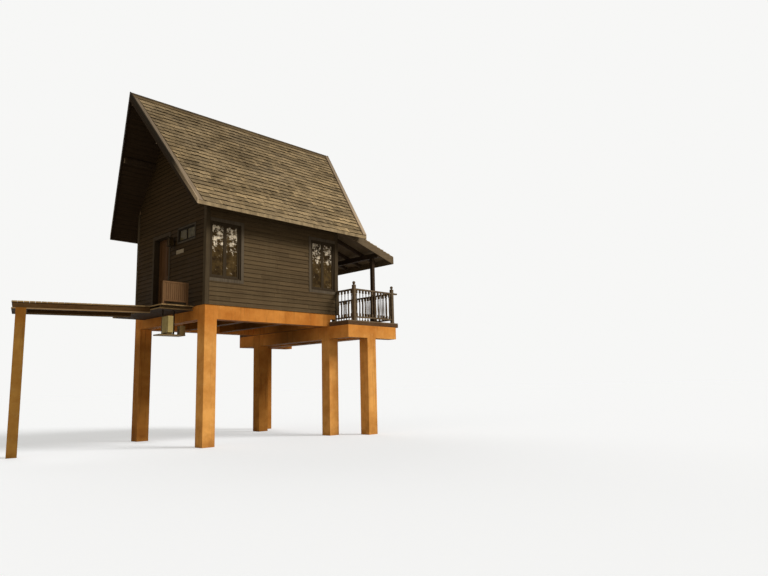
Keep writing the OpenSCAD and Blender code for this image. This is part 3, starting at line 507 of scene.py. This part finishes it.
def makeConcrete(name, tone):  # ochre paint, blotched and rain-streaked, with fine pits; painted light on the stilts, painted shade on the back stilts, on undersides and under the house
    tree, shader, place = newMaterial(name)
    along, across, height = axesOf(tree, place)
    blotches = patches(tree, place, *paint["blotches"])
    chalk = patches(tree, place, *paint["chalky"])
    streaks = patches(tree, stretched(tree, place, paint["streakStretch"]), *paint["streaks"])
    foot = mapRange(tree, height, 0.0, *paint["splash"], 0.0)
    dirt = mathNode(tree, "ADD", streaks, times(tree, foot, blotches), clamp=True)
    colour = mixColours(tree, blotches, paint["bright"], paint["deep"])
    colour = mixColours(tree, chalk, colour, paint["chalk"])
    colour = mixColours(tree, dirt, colour, paint["stain"])
    # painted light on the stilts, painted shade on those at the back
    low, far = (tuple(tone[i] * paint[key][i] for i in range(3)) for key in ("low", "far"))
    onStilts = mixColours(tree, above(tree, across, paint["farFrom"]), low, far)
    level = mapRange(tree, height, *paint["stiltTops"], 1.0, 0.0)
    tones = mixColours(tree, level, tone, onStilts)
    toned = addNode(tree, "ShaderNodeVectorMath", {"operation": "MULTIPLY"}, {0: colour, 1: tones})
    # painted shade on undersides
    undersideShade = mapRange(tree, facingDown(tree), 0.0, 1.0, 1.0, paint["under"])
    # painted shade deeper under the house
    inward = mathNode(tree, "SUBTRACT", ridgeY, offRidge(tree, across))
    behind = above(tree, along, paint["innerFrom"])
    inner = mathNode(tree, "POWER", mapRange(tree, inward, *paint["inner"]), behind)  # 1 before that place
    colour = scaleColour(tree, scaleColour(tree, toned.outputs[0], undersideShade), inner)
    rough = mapRange(tree, chalk, 0.0, paint["chalky"][2], *paint["roughness"])
    fillSockets(tree, shader, {
        "Base Color": colour, "Roughness": rough, "Specular IOR Level": paint["specular"]})
    waves = times(tree, blotches, paint["waves"])
    addBump(tree, shader, mathNode(tree, "ADD", noise(tree, place, *paint["pits"]), waves), *paint["bump"])


metals = {
    "dark lamp metal": {"colour": (0.040, 0.026, 0.013), "worn": (0.070, 0.048, 0.027), "metallic": 0.1,
                        "roughness": 0.7, "scale": 18.0, "specular": 0.026},
    "satin steel": {"colour": (0.55, 0.53, 0.50), "worn": (0.42, 0.40, 0.37), "metallic": 0.95,
                    "roughness": 0.28, "scale": 30.0, "specular": 0.5},
    "bare plate": {"colour": (0.272, 0.218, 0.141), "worn": (0.189, 0.147, 0.090), "metallic": 0.0,
                   "roughness": 0.6, "scale": 14.0, "specular": 0.13},
}
metalSurface = {
    "marks": (6, 0.65),
    "span": (0.45, 0.75),
    "wear": 0.2,  # how much rougher the marks are
    "tooth": (12, 3),  # its scale beside that of the marks, and its detail
    "bump": (0.08, 0.001),
}


def makeMetal(name, look):  # worn marks, duller than the rest, and a fine tooth
    tree, shader, place = newMaterial(name)
    marks = patches(tree, place, (look["scale"], *metalSurface["marks"]), metalSurface["span"])
    rough = mapRange(tree, marks, 0.0, 1.0, look["roughness"], look["roughness"] + metalSurface["wear"])
    fillSockets(tree, shader, {
        "Base Color": mixColours(tree, marks, look["colour"], look["worn"]), "Roughness": rough,
        "Metallic": look["metallic"], "Specular IOR Level": look["specular"]})
    finer, detail = metalSurface["tooth"]
    addBump(tree, shader, noise(tree, place, look["scale"] * finer, detail), *metalSurface["bump"])


glasses = {
    "window glass": {"tint": (0.040, 0.024, 0.009), "dusty": (0.145, 0.094, 0.035), "pale": (1.0, 0.89, 0.71),
                     # the gable walls' panes take these colours as painted shade
                     "sheltered": ((0.072, 0.057, 0.025), (0.165, 0.134, 0.068)),  # on the gable walls
                     "clear": 0.22, "roughness": 0.0, "ior": 1.096},
    "lamp glass": {"tint": (0.070, 0.045, 0.020), "dusty": (0.100, 0.064, 0.030),
                   "pale": (0.100, 0.064, 0.030),
                   "sheltered": ((0.070, 0.045, 0.020), (0.100, 0.064, 0.030)),
                   "clear": 0.3, "roughness": 0.3, "ior": 1.04},
}
panes = {
    "film": (3.0, 5, 0.6),
    "speckle": (7.0, 6, 0.72),
    "smears": (0.4, 0.7),  # the film's span over which the glass gets rougher
    "rougher": 0.05,  # by so much
    "dust": (0.42, 0.62),
    "gableDust": (0.38, 0.62),
    "pale": (0.478, 0.572),
    "heights": (4.95, 5.30),  # the painted reflections, pale patches, grow sparse between these levels, downwards
    "sparse": 0.13,  # how much is taken off the speckle at the lower one
}


def makeGlass(name, look):  # dusty patches, painted reflections as pale patches in the upper half of the long walls' windows, and painted shade on the gable walls' panes
    tree, shader, place = newMaterial(name)
    film, speckle = noise(tree, place, *panes["film"]), noise(tree, place, *panes["speckle"])
    rough = mapRange(tree, film, *panes["smears"], look["roughness"], look["roughness"] + panes["rougher"])
    sparse = mapRange(tree, axesOf(tree, place)[2], *panes["heights"], panes["sparse"], 0.0)
    # painted reflections: pale patches on the panes
    pale = mapRange(tree, mathNode(tree, "SUBTRACT", speckle, sparse), *panes["pale"])
    blend = times(tree, mathNode(tree, "ADD", film, speckle), 0.5)
    dust = mapRange(tree, blend, *panes["dust"])
    colour = mixColours(tree, pale, mixColours(tree, dust, look["tint"], look["dusty"]), look["pale"])
    # painted shade on the gable walls' panes
    sheltered = mixColours(tree, mapRange(tree, film, *panes["gableDust"]), *look["sheltered"])
    colour = mixColours(tree, onLongWalls(tree, place), sheltered, colour)
    fillSockets(tree, shader, {
        "Base Color": colour, "Roughness": rough, "Transmission Weight": look["clear"], "IOR": look["ior"]})


shelf = {
    "cream": (0.40, 0.315, 0.122),
    # the cream's own faded tone
    "fadedAndLit": (0.285, 0.218, 0.080),
    "grey": (0.19, 0.130, 0.050),
    "rust": (0.13, 0.082, 0.032),
    "hanger": (0.035, 0.022, 0.012),
    "tallBox": (-0.850, -0.700),  # where the cream box stands along X
    "foot": 2.891,  # level of that box's underside
    "back": 0.774,  # where the hangers start along Y
    "board": 2.846,  # level of the shelf's top
    "marks": ((5.0, 6, 0.65), (0.4, 0.7)),
    "roughness": (0.5, 0.72),
    "specular": 0.13,
    "bump": (0.1, 0.001),
}


def makeShelfMetal():  # the tall box is cream, the shelf and the low box are a dull brown, the hangers dark
    tree, shader, place = newMaterial("shelf metal")
    along, across, height = axesOf(tree, place)
    marks = patches(tree, place, *shelf["marks"])
    start, end = shelf["tallBox"]
    onTallBox = times(tree, above(tree, along, start), mathNode(tree, "LESS_THAN", along, end))
    onTallBox = times(tree, onTallBox, above(tree, height, shelf["foot"]))
    onHangers = times(tree, above(tree, across, shelf["back"]), above(tree, height, shelf["board"]))
    colour = mixColours(tree, onTallBox, mixColours(tree, marks, shelf["grey"], shelf["rust"]),
                        mixColours(tree, marks, shelf["cream"], shelf["fadedAndLit"]))
    fillSockets(tree, shader, {
        "Base Color": mixColours(tree, onHangers, colour, shelf["hanger"]),
        "Roughness": mapRange(tree, marks, 0.0, 1.0, *shelf["roughness"]),
        "Specular IOR Level": shelf["specular"]})
    addBump(tree, shader, marks, *shelf["bump"])


for make, looks in ((makeWood, woods), (makeConcrete, concretes), (makeMetal, metals), (makeGlass, glasses)):
    for name, look in looks.items():
        make(name, look)
makeShelfMetal()

# What the part's own solids are made of
finishes = {
    "painted concrete": ["house_stilts", "veranda_stilts", "long_beams", "end_beams", "low_cross_beams",
                         "veranda_beams", "floor_slab"],
    "dull painted concrete": ["slab_ribs", "walkway_post"],
    "lining boards": ["front_wall", "back_wall", "entrance_wall_near", "entrance_wall_far",
                      "entrance_gable", "river_wall_sides", "river_gable"],
    "trim boards": ["window_casings"],
    "corner wood": ["corner_boards"],
    "frame wood": ["door_frame", "river_door_frame"],
    "window wood": ["window_frames"],
    "sash wood": ["casements"],
    "dark timber": ["purlins", "lean_to_rafters", "lean_to_posts"],
    "eave wood": ["eave_boards"],
    "landing wood": ["landing_frame"],
    "walkway wood": ["walkway_bearers"],
    "bearer wood": ["veranda_joists"],
    "grey timber": ["bargeboards"],
    "eave timber": ["lean_to_roof"],
    "railing wood": ["railing_posts", "wing_railings", "river_railing"],
    "soffit boards": ["front_roof", "back_roof"],
    "floor wood": ["timber_floor"],
    "door wood": ["entrance_door", "river_door"],
    "screen wood": ["landing_screen"],
    "window glass": ["window_glass"],
    "satin steel": ["door_handle"],
    "shelf metal": ["service_shelf"],
}
for look, names in finishes.items():
    for name in names:
        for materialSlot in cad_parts[name].material_slots:
            materialSlot.material = materials[look]
print("materials made:", len(bpy.data.materials))

# Lap boards on the walls
siding = {
    "exposure": 0.12,  # height that shows of one board
    "butt": 0.021,  # thickness at the lower edge
    "thin": 0.003,  # thickness at the upper edge
    "first": 0.6,  # least length of a course's first board
    "short": 1.4,  # least length of the others
    "long": 2.9,  # greatest length
    "last": 0.3,  # least length of the last one
    "joint": 0.0025,  # between the ends of two boards
    "sliver": 0.004,  # shorter pieces are left out
    "strip": 0.002,  # and so are lower ones, beside an opening
    "top": 0.02,  # the courses end where they would be shorter than this
    "corner": 0.10,  # width of a corner board
    "clear": 0.004,  # below the roof
}
wallTop = house["eaveHeight"] + house["eaveOut"] * math.tan(pitch) - roofDepth - siding["clear"]
gableTop = house["ridgeHeight"] - roofDepth - siding["clear"]

# The casings' edges on each wall: left, right, low and high
casings = {
    "long": [(0.10, 1.135, 0.625, 2.315), (3.415, 4.45, 0.625, 2.315)],
    "entrance": [(0.515, 1.485, 1.815, 2.265), (1.88, 2.94, 0.0, 2.26)],
    "river": [(1.305, 2.645, 0.0, 2.26)],
}


def longSides(height):  # the ends of the boards on the front and back walls
    return siding["corner"], house["length"] - siding["corner"]


def gableSides(height):  # the same on the gable walls, which narrow under the roof
    near = max(siding["corner"], roofEdgeY(height + siding["clear"]))
    return near, max(near, house["width"] - near)


def freeSpans(low, high, taken):  # what is left of a height without the taken ones
    spans = [(low, high)]
    for start, end in taken:
        cut = [part for base, top in spans for part in ((base, min(top, start)), (max(base, end), top))]
        spans = [part for part in cut if part[1] - part[0] > siding["strip"]]
    return spans


def boardJoints(dice, left, right):
    joints, at = [], left + dice.uniform(siding["first"], siding["long"])
    while at < right - siding["last"]:
        joints.append(at)
        at += dice.uniform(siding["short"], siding["long"])
    return joints


def layCourse(part, dice, sides, low, high, openings):  # the boards of one course, cut out round the openings
    left, right = sides(low)
    joints = boardJoints(dice, left, right)
    cuts = {left, right, *joints}
    for near, far, sill, head in openings:
        if sill < high and head > low:
            cuts |= {within(edge, left, right) for edge in (near, far)}
    cuts = sorted(cuts)
    tint = dice.random()
    for start, end in zip(cuts, cuts[1:]):
        if start in joints:
            tint = dice.random()
            start += siding["joint"]
        if end - start < siding["sliver"]:
            continue
        taken = [(sill, head) for near, far, sill, head in openings if near < (start + end) / 2 < far]
        for bottom, top in freeSpans(low, high, taken):
            for corner in addBlock(part, (start, 0, bottom), (end, 1, top), tint, [(0, 0, -1)]):
                share = (corner.co.z - low) / siding["exposure"]
                if corner.co.y > 0.5:
                    corner.co.y = siding["butt"] + (siding["thin"] - siding["butt"]) * share
                corner.co.x = within(corner.co.x, *sides(corner.co.z))


# Sides(height) gives the wall's edges. Local X runs along the wall, Y outwards and Z up.
def sideWall(name, look, seed, sides, wallHeight, openings, origin, along, out):
    dice = random.Random(seed)
    bm = newShape()
    for course in range(math.ceil(wallHeight / siding["exposure"])):
        low, high = course * siding["exposure"], min((course + 1) * siding["exposure"], wallHeight)
        left, right = sides(low)
        if right - left < siding["top"]:
            break
        part = newShape()
        layCourse(part, dice, sides, low, high, openings)
        addShape(bm, part, placeOf((along, out, (0, 0, 1)), origin))
    finishPiece(bm, name, look)


sideWall("siding_front", "siding boards", 3, longSides, wallTop, casings["long"],
         (0, 0, 0), (1, 0, 0), (0, -1, 0))
sideWall("siding_back", "siding boards", 4, longSides, wallTop, casings["long"],
         (0, house["width"], 0), (1, 0, 0), (0, 1, 0))
# the gable walls take the darker boards, painted shade
sideWall("siding_entrance", "sheltered boards", 5, gableSides, gableTop, casings["entrance"],
         (0, 0, 0), (0, 1, 0), (-1, 0, 0))
sideWall("siding_river", "sheltered boards", 6, gableSides, gableTop, casings["river"],
         (house["length"], 0, 0), (0, 1, 0), (1, 0, 0))
print("siding built")

# Wood shingles on both slopes and on the lean-to, and the boards over the ridge and along the verges
shingles = {
    "courses": 26,
    "narrow": 0.085,
    "wide": 0.15,
    "butt": 0.037,  # greatest thickness at the lower edge
    "worn": 0.55,  # share of it that a worn shingle has
    "thin": 0.004,  # thickness at the upper edge
    "last": 0.5,  # how thick the top course is beside the others, under the ridge boards
    "lap": 0.012,  # how far a shingle runs under the next course
    "gap": 0.004,
    "start": 0.1,  # a course's first shingle starts up to this far outside the slope
    "sliver": 0.01,  # less of a shingle than this isn't laid
    "uneven": 0.026,  # how far the lower edges stray from their line
    "even": 0.010,  # the same for the lowest course
    "course": 0.3,  # share of a shingle's shade that its whole course has
    "alike": 0.35,  # chance that a shingle has its neighbour's shade and thickness
    "overhang": 0.030,  # past the eave board
    "clear": 0.014,  # below the ridge
}
vergeBoards = {
    "width": 0.13,
    "low": 0.001,
    "high": (0.020, 0.050),  # the top's level at the entrance end and at the river end
    "tint": (0.05, 0.95),  # painted light and shade: the entrance end's boards dark, the river end's pale
    "short": 0.03,  # where they stop below the ridge
    "inset": 0.001,
    "gutter": 0.022,  # between them and the shingles
}
ridgeBoards = {"wing": 0.15, "low": 0.016, "high": 0.030, "step": 0.62, "gap": 0.002, "tint": 0.5}


def slopePlace(mirrored):  # local X along the ridge, Y up the slope, Z off it
    rise = (0, math.cos(pitch), math.sin(pitch))
    off = (0, -math.sin(pitch), math.cos(pitch))
    place = placeOf(((1, 0, 0), rise, off), (0, -house["eaveOut"], house["eaveHeight"]))
    if mirrored:
        mirror = Matrix.Translation((0, house["width"], 0)) @ Matrix.Scale(-1, 4, (0, 1, 0))
        place = mirror @ place
    return place


def shingleCourse(part, dice, start, end, limits, drop, thick):  # limits(up) gives the course's ends there
    first = min(limits(start)[0], limits(end)[0])
    last = max(limits(start)[1], limits(end)[1])
    stray = shingles["even"] if drop else shingles["uneven"]
    at = first - dice.uniform(0.0, shingles["start"])
    shade = dice.uniform(0, shingles["course"])
    tint, butt = None, None
    while at < last:
        width = dice.uniform(shingles["narrow"], shingles["wide"])
        lower = start - drop + dice.uniform(-0.5, 0.5) * stray
        if tint is None or dice.random() > shingles["alike"]:
            tint = shade + dice.random() * (1 - shingles["course"])
            butt = shingles["butt"] * dice.uniform(shingles["worn"], 1.0) * thick
        left, right = at, at + width - shingles["gap"]
        at += width
        if right < first + shingles["sliver"] or left > last - shingles["sliver"]:
            continue
        made = addBlock(part, (left, lower, 0), (right, end + shingles["lap"], 1), tint, [(0, -1, 0)])
        for corner in made:
            if corner.co.z > 0.5:
                corner.co.z = butt if corner.co.y < (start + end) / 2 else shingles["thin"]
            corner.co.x = within(corner.co.x, *limits(corner.co.y))


def slopeLimits(up):  # the shingles stop a gutter's width from the verge boards
    share = up / slopeLength
    inward = vergeBoards["inset"] + vergeBoards["width"] + vergeBoards["gutter"]
    return vergeX(share, 0) + inward, vergeX(share, 1) - inward


def shingleRoof(name, seed, look, length, limits, place):  # courses from the eave up
    dice = random.Random(seed)
    bm = newShape()
    rows = evenRows(0, length, look["courses"])
    for start, end in rows:
        part = newShape()
        drop = look["overhang"] if start == 0 else 0.0
        thick = look["last"] if start == rows[-1][0] else 1.0
        shingleCourse(part, dice, start, min(end, length - look["clear"]), limits, drop, thick)
        addShape(bm, part, place)
    finishPiece(bm, name, "shingle wood")


def buildRidge():  # two wings of boards that meet in a mitre over the ridge
    dice = random.Random(8)
    bm = newShape()
    left, right = vergeX(1, 0), vergeX(1, 1)
    for mirrored in (False, True):
        part = newShape()
        for start, end in evenRows(left, right, round((right - left) / ridgeBoards["step"])):
            low = (start + ridgeBoards["gap"], slopeLength - ridgeBoards["wing"], ridgeBoards["low"])
            high = (end - ridgeBoards["gap"], slopeLength, ridgeBoards["high"])
            made = addBlock(part, low, high, dice.random() * ridgeBoards["tint"])
            for corner in made:
                if corner.co.y > slopeLength - ridgeBoards["wing"] / 2:
                    corner.co.y = slopeLength + corner.co.z * math.tan(pitch)
        addShape(bm, part, slopePlace(mirrored))
    finishPiece(bm, "ridge_boards", "ridge wood", ["ridge_cap"])


def buildVergeBoards():  # flat boards along the verges, from the eave to just below the ridge
    bm = newShape()
    top = slopeLength - vergeBoards["short"]
    for mirrored in (False, True):
        part = newShape()
        for end, inward in ((0, 1), (1, -1)):
            made = addBlock(part, (0, -shingles["overhang"], vergeBoards["low"]),
                            (1, top, vergeBoards["high"][end]), vergeBoards["tint"][end])
            for corner in made:
                edge = vergeX(corner.co.y / slopeLength, end) + inward * vergeBoards["inset"]
                inner = (corner.co.x > 0.5) == (inward > 0)
                corner.co.x = edge + inward * vergeBoards["width"] if inner else edge
        addShape(bm, part, slopePlace(mirrored))
    finishPiece(bm, "verge_boards", "verge wood")


leanTo = {
    "top": 2.799,
    "low": 2.09,
    "length": 2.28,
    "out": 0.25,
    "courses": 15,
    "side": 0.026,  # how far the shingles pass its sides
    "overhang": 0.01,
    "clear": 0.035,  # below its top
    "last": 1.0,
}


def leanToLimits(up):
    side = leanTo["out"] + leanTo["side"]
    return -side, house["width"] + side


def buildLeanTo():  # its courses run along Y and climb towards the wall
    fall = math.atan2(leanTo["top"] - leanTo["low"], leanTo["length"])
    along, up = Vector((0, 1, 0)), Vector((-math.cos(fall), 0, math.sin(fall)))
    place = placeOf((along, up, along.cross(up)), (house["length"] + leanTo["length"], 0, leanTo["low"]))
    shingleRoof("shingles_lean_to", 31, leanTo, leanTo["length"] / math.cos(fall), leanToLimits, place)


shingleRoof("shingles_front", 21, shingles, slopeLength, slopeLimits, slopePlace(False))
shingleRoof("shingles_back", 22, shingles, slopeLength, slopeLimits, slopePlace(True))
buildRidge()
buildVergeBoards()
buildLeanTo()
print("roofs shingled")

# Boards of the veranda, the landing and the walkway
deck = {
    "step": 0.122,
    "gap": 0.006,
    "thickness": 0.035,
    "edge": 0.003,
    "verandaLevel": -0.23,
    "verandaEnd": 6.36,
    # the front wing, the middle and the back wing: from and to along Y, and where the boards start along X
    "veranda": [(-0.86, -0.028, 4.2), (-0.022, 3.972, 4.578), (3.978, 4.81, 4.2)],
    "landing": {"rows": (-0.92, -0.030), "boards": (0.5, 3.5)},  # along X and along Y
}


def boardRows(part, dice, start, end, span, level, alongX):  # rows of boards between two edges
    rows = evenRows(start, end, max(1, round((end - start) / deck["step"])))
    for near, far in rows:
        near += deck["gap"] / 2 if near > start else 0
        far -= deck["gap"] / 2 if far < rows[-1][1] else 0
        low, high = (span[0], near), (span[1], far)
        if not alongX:
            low, high = (near, span[0]), (far, span[1])
        addBlock(part, (*low, level - deck["thickness"]), (*high, level), dice.random())


def buildDecks():
    dice = random.Random(41)
    bm = newShape()
    for start, end, inner in deck["veranda"]:
        boardRows(bm, dice, start, end, (inner, deck["verandaEnd"]), deck["verandaLevel"], True)
    softenEdges(bm, deck["edge"])
    finishPiece(bm, "veranda_boards", "deck wood", ["veranda_deck"])
    bm = newShape()
    boardRows(bm, dice, *deck["landing"]["rows"], deck["landing"]["boards"], 0.0, False)
    softenEdges(bm, deck["edge"])
    finishPiece(bm, "landing_boards", "landing wood", ["landing_deck"])


walkway = {
    "start": (-0.92, 1.10, 0),
    "angle": 16.5,
    "width": 1.2,
    "length": 3.08,
    "clear": 0.002,  # between its boards and the landing's edge
}


def buildWalkway():  # boards across the walkway, cut off along the landing's edge
    dice = random.Random(43)
    angle = math.radians(walkway["angle"])
    along = Vector((-math.cos(angle), math.sin(angle), 0))
    across = Vector((math.sin(angle), math.cos(angle), 0))
    part = newShape()
    for near, far in evenRows(0, walkway["length"], round(walkway["length"] / deck["step"])):
        low, high = (near + deck["gap"], 0, -deck["thickness"]), (far, walkway["width"], 0)
        for corner in addBlock(part, low, high, dice.random()):
            corner.co.y = min(corner.co.y, corner.co.x / math.tan(angle) - walkway["clear"])
    softenEdges(part, deck["edge"])
    bm = newShape()
    addShape(bm, part, placeOf((along, across, (0, 0, 1)), walkway["start"]))
    finishPiece(bm, "walkway_boards", "landing wood", ["walkway_deck"])


buildDecks()
buildWalkway()
print("decks boarded")

# The lamp by the entrance door: a square lantern under a hipped cap, on a block against the wall
lantern = {
    "middle": (-0.13, 1.67, 1.78),  # of its foot
    "width": 0.17,
    "height": 0.30,
    "bar": 0.014,
    "inner": 0.8,  # shares of half the width: of the bars' square, and of the cap below and above
    "cap": (1.66, 0.26),
    "barTop": 0.72,  # shares of the height
    "headTop": 0.75,
    "capDepth": 0.22,
    "capMiddle": 0.86,
    "block": 0.045,  # half of that block's width
    "blockFoot": 0.02,
    "blockTop": 0.5,
    "wall": -0.012,  # where that block ends, inside the siding
    "edge": 0.0015,
    "paneRim": (0.012, -0.002),  # width and depth of the step round each pane
}


def buildLantern():
    x, y, z = lantern["middle"]
    half, height, bar = lantern["width"] / 2, lantern["height"], lantern["bar"]
    inner, foot, barTop = half * lantern["inner"], z + 2 * bar, z + height * lantern["barTop"]
    bm = newShape()
    reach = inner - bar / 2
    addPost(bm, x, y, half, z, z + bar)
    addPost(bm, x, y, inner, z + bar, foot)
    for sideX in (-1, 1):
        for sideY in (-1, 1):
            addPost(bm, x + sideX * reach, y + sideY * reach, bar / 2, foot, barTop)
    addPost(bm, x, y, inner, barTop, z + height * lantern["headTop"])
    addBlock(bm, (x + half, y - lantern["block"], z + lantern["blockFoot"]),
             (lantern["wall"], y + lantern["block"], z + height * lantern["blockTop"]))
    softenEdges(bm, lantern["edge"])
    wide, narrow = lantern["cap"]
    cap = bmesh.ops.create_cone(bm, cap_ends=True, segments=4, radius1=half * wide, radius2=half * narrow,
                                depth=height * lantern["capDepth"])["verts"]
    bmesh.ops.rotate(bm, cent=(0, 0, 0), matrix=Matrix.Rotation(math.radians(45), 3, "Z"), verts=cap)
    bmesh.ops.translate(bm, vec=(x, y, z + height * lantern["capMiddle"]), verts=cap)
    finishPiece(bm, "lantern", "dark lamp metal", ["door_lamp"])
    bm = newShape()
    addPost(bm, x, y, reach, foot, barTop)
    upright = [face for face in bm.faces if abs(face.normal.z) < 0.5]
    rimWidth, rimDepth = lantern["paneRim"]
    bmesh.ops.inset_individual(bm, faces=upright, thickness=rimWidth, depth=rimDepth)
    finishPiece(bm, "lantern_panes", "lamp glass")


# A bare plate below the lamp, and pale blocks on the purlins' ends
plate = {"x": (-0.026, -0.008), "y": (1.13, 1.53), "z": (1.535, 1.645), "edge": 0.003}


def buildPlate():
    bm = newShape()
    low, high = zip(plate["x"], plate["y"], plate["z"])
    addBlock(bm, low, high)
    softenEdges(bm, plate["edge"], 2)
    finishPiece(bm, "wall_plate", "bare plate")


purlinEnds = {
    "thickness": 0.012,
    "width": 0.07,
    "height": 0.15,
    "back": 0.06,  # from the verge
    "lower": 0.04,  # a purlin's top follows the roof's underside this much further out
    "clear": 0.01,  # below that underside
    "edge": 0.002,
}


def buildPurlinEnds():
    bm = newShape()
    half = purlinEnds["width"] / 2
    for y in (midY / 2, midY, house["width"] - midY / 2):
        inward = min(y, house["width"] - y)
        share = (inward + house["eaveOut"]) / run
        top = house["eaveHeight"] + (inward - purlinEnds["lower"] + house["eaveOut"]) * math.tan(pitch)
        top -= roofDepth + purlinEnds["clear"]
        for end, sign in ((0, -1), (1, 1)):
            x = vergeX(share, end) - sign * purlinEnds["back"]
            low = min(x, x + sign * purlinEnds["thickness"])
            addBlock(bm, (low, y - half, top - purlinEnds["height"]),
                     (low + purlinEnds["thickness"], y + half, top))
    softenEdges(bm, purlinEnds["edge"])
    finishPiece(bm, "purlin_ends", "eave timber")


buildLantern()
buildPlate()
buildPurlinEnds()
print("small pieces built")

# Floor, light and camera
studio = {
    "size": 600,
    "middle": (2, 2, -0.002),
    "floor": (0.42, 0.40, 0.37),  # the floor's colour for the light that it throws back
    "lit": 0.58,  # share of the floor's brightness that comes from the lamps, which a shadow takes away
    "background": (0.93, 0.93, 0.92),
    "fill": (0.66, 0.61, 0.52),
    "fillStrength": 0.37,
}

# Soft suns, so that the light is the same all over the floor; from gives the way to each
suns = {
    "key": {"from": (0.42, -0.70, 0.58), "strength": 2.7, "angle": 24, "colour": (1.0, 0.95, 0.88)},
    "side": {"from": (-0.86, -0.20, 0.46), "strength": 0.30, "angle": 60, "colour": (1.0, 0.91, 0.76)},
    "back": {"from": (0.25, 0.80, 0.55), "strength": 0.9, "angle": 40, "colour": (1.0, 0.95, 0.88)},
}


def floorSeen(channel):  # the floor's colour for the camera, which makes it as pale as the background
    light = studio["fill"][channel] * studio["fillStrength"]
    for look in suns.values():
        light += look["colour"][channel] * look["strength"] * Vector(look["from"]).normalized().z / math.pi
    return studio["lit"] * studio["background"][channel] / light


def seenRays(tree):  # 1 for the camera's rays and for those that glass and metal send on
    rays = addNode(tree, "ShaderNodeLightPath")
    seen = rays.outputs["Is Camera Ray"]
    for kind in ("Is Glossy Ray", "Is Transmission Ray"):
        seen = mathNode(tree, "MAXIMUM", seen, rays.outputs[kind])
    return seen


def buildFloor():
    bpy.ops.mesh.primitive_plane_add(size=studio["size"], location=studio["middle"])
    floor = bpy.context.object
    floor.name = "floor"
    tree, shader = newMaterial("pale floor")[:2]
    glow = 1 - studio["lit"]
    direct = seenRays(tree)
    seen = tuple(floorSeen(channel) for channel in range(3))
    fillSockets(tree, shader, {
        "Base Color": mixColours(tree, direct, studio["floor"], seen), "Roughness": 1.0,
        "Specular IOR Level": 0.0, "Emission Strength": direct,
        "Emission Color": tuple(glow * part for part in studio["background"])})
    floor.data.materials.append(materials["pale floor"])


def buildWorld():
    world = bpy.data.worlds.new("studio")
    scene.world = world
    world.use_nodes = True
    tree = world.node_tree
    tree.nodes.clear()
    looks = ((studio["fill"], studio["fillStrength"]), (studio["background"], 1.0))
    fill, seen = (addNode(tree, "ShaderNodeBackground", None, {"Color": colour, "Strength": strength})
                  for colour, strength in looks)
    values = {0: seenRays(tree), 1: fill.outputs[0], 2: seen.outputs[0]}
    mix = addNode(tree, "ShaderNodeMixShader", None, values)
    addNode(tree, "ShaderNodeOutputWorld", None, {"Surface": mix.outputs[0]})


def addSuns():
    for name, look in suns.items():
        light = bpy.data.lights.new(name, "SUN")
        light.energy, light.angle, light.color = look["strength"], math.radians(look["angle"]), look["colour"]
        lamp = bpy.data.objects.new(name, light)
        lamp.rotation_euler = (-Vector(look["from"])).to_track_quat("-Z", "Y").to_euler()
        scene.collection.objects.link(lamp)


photoView = {
    "place": (-8.463, -14.436, 1.426),
    "yaw": 43.66,
    "pitch": 8.878,
    "roll": -1.382,
    "lens": 29.25,
    "sensor": 36.0,
    "reach": 500.0,
}


def addCamera():
    yaw, lift, roll = (math.radians(photoView[key]) for key in ("yaw", "pitch", "roll"))
    ahead = Vector((math.cos(yaw) * math.cos(lift), math.sin(yaw) * math.cos(lift), math.sin(lift)))
    right = Vector((math.sin(yaw), -math.cos(yaw), 0))
    up = right.cross(ahead)
    right, up = math.cos(roll) * right + math.sin(roll) * up, math.cos(roll) * up - math.sin(roll) * right
    lens = bpy.data.cameras.new("photo view")
    lens.lens, lens.sensor_width, lens.clip_end = photoView["lens"], photoView["sensor"], photoView["reach"]
    camera = bpy.data.objects.new("photo view", lens)
    camera.matrix_world = placeOf((right, up, -ahead), photoView["place"])
    scene.collection.objects.link(camera)
    scene.camera = camera


buildFloor()
buildWorld()
addSuns()
addCamera()
scene.view_settings.view_transform = "Standard"
print("scene ready")
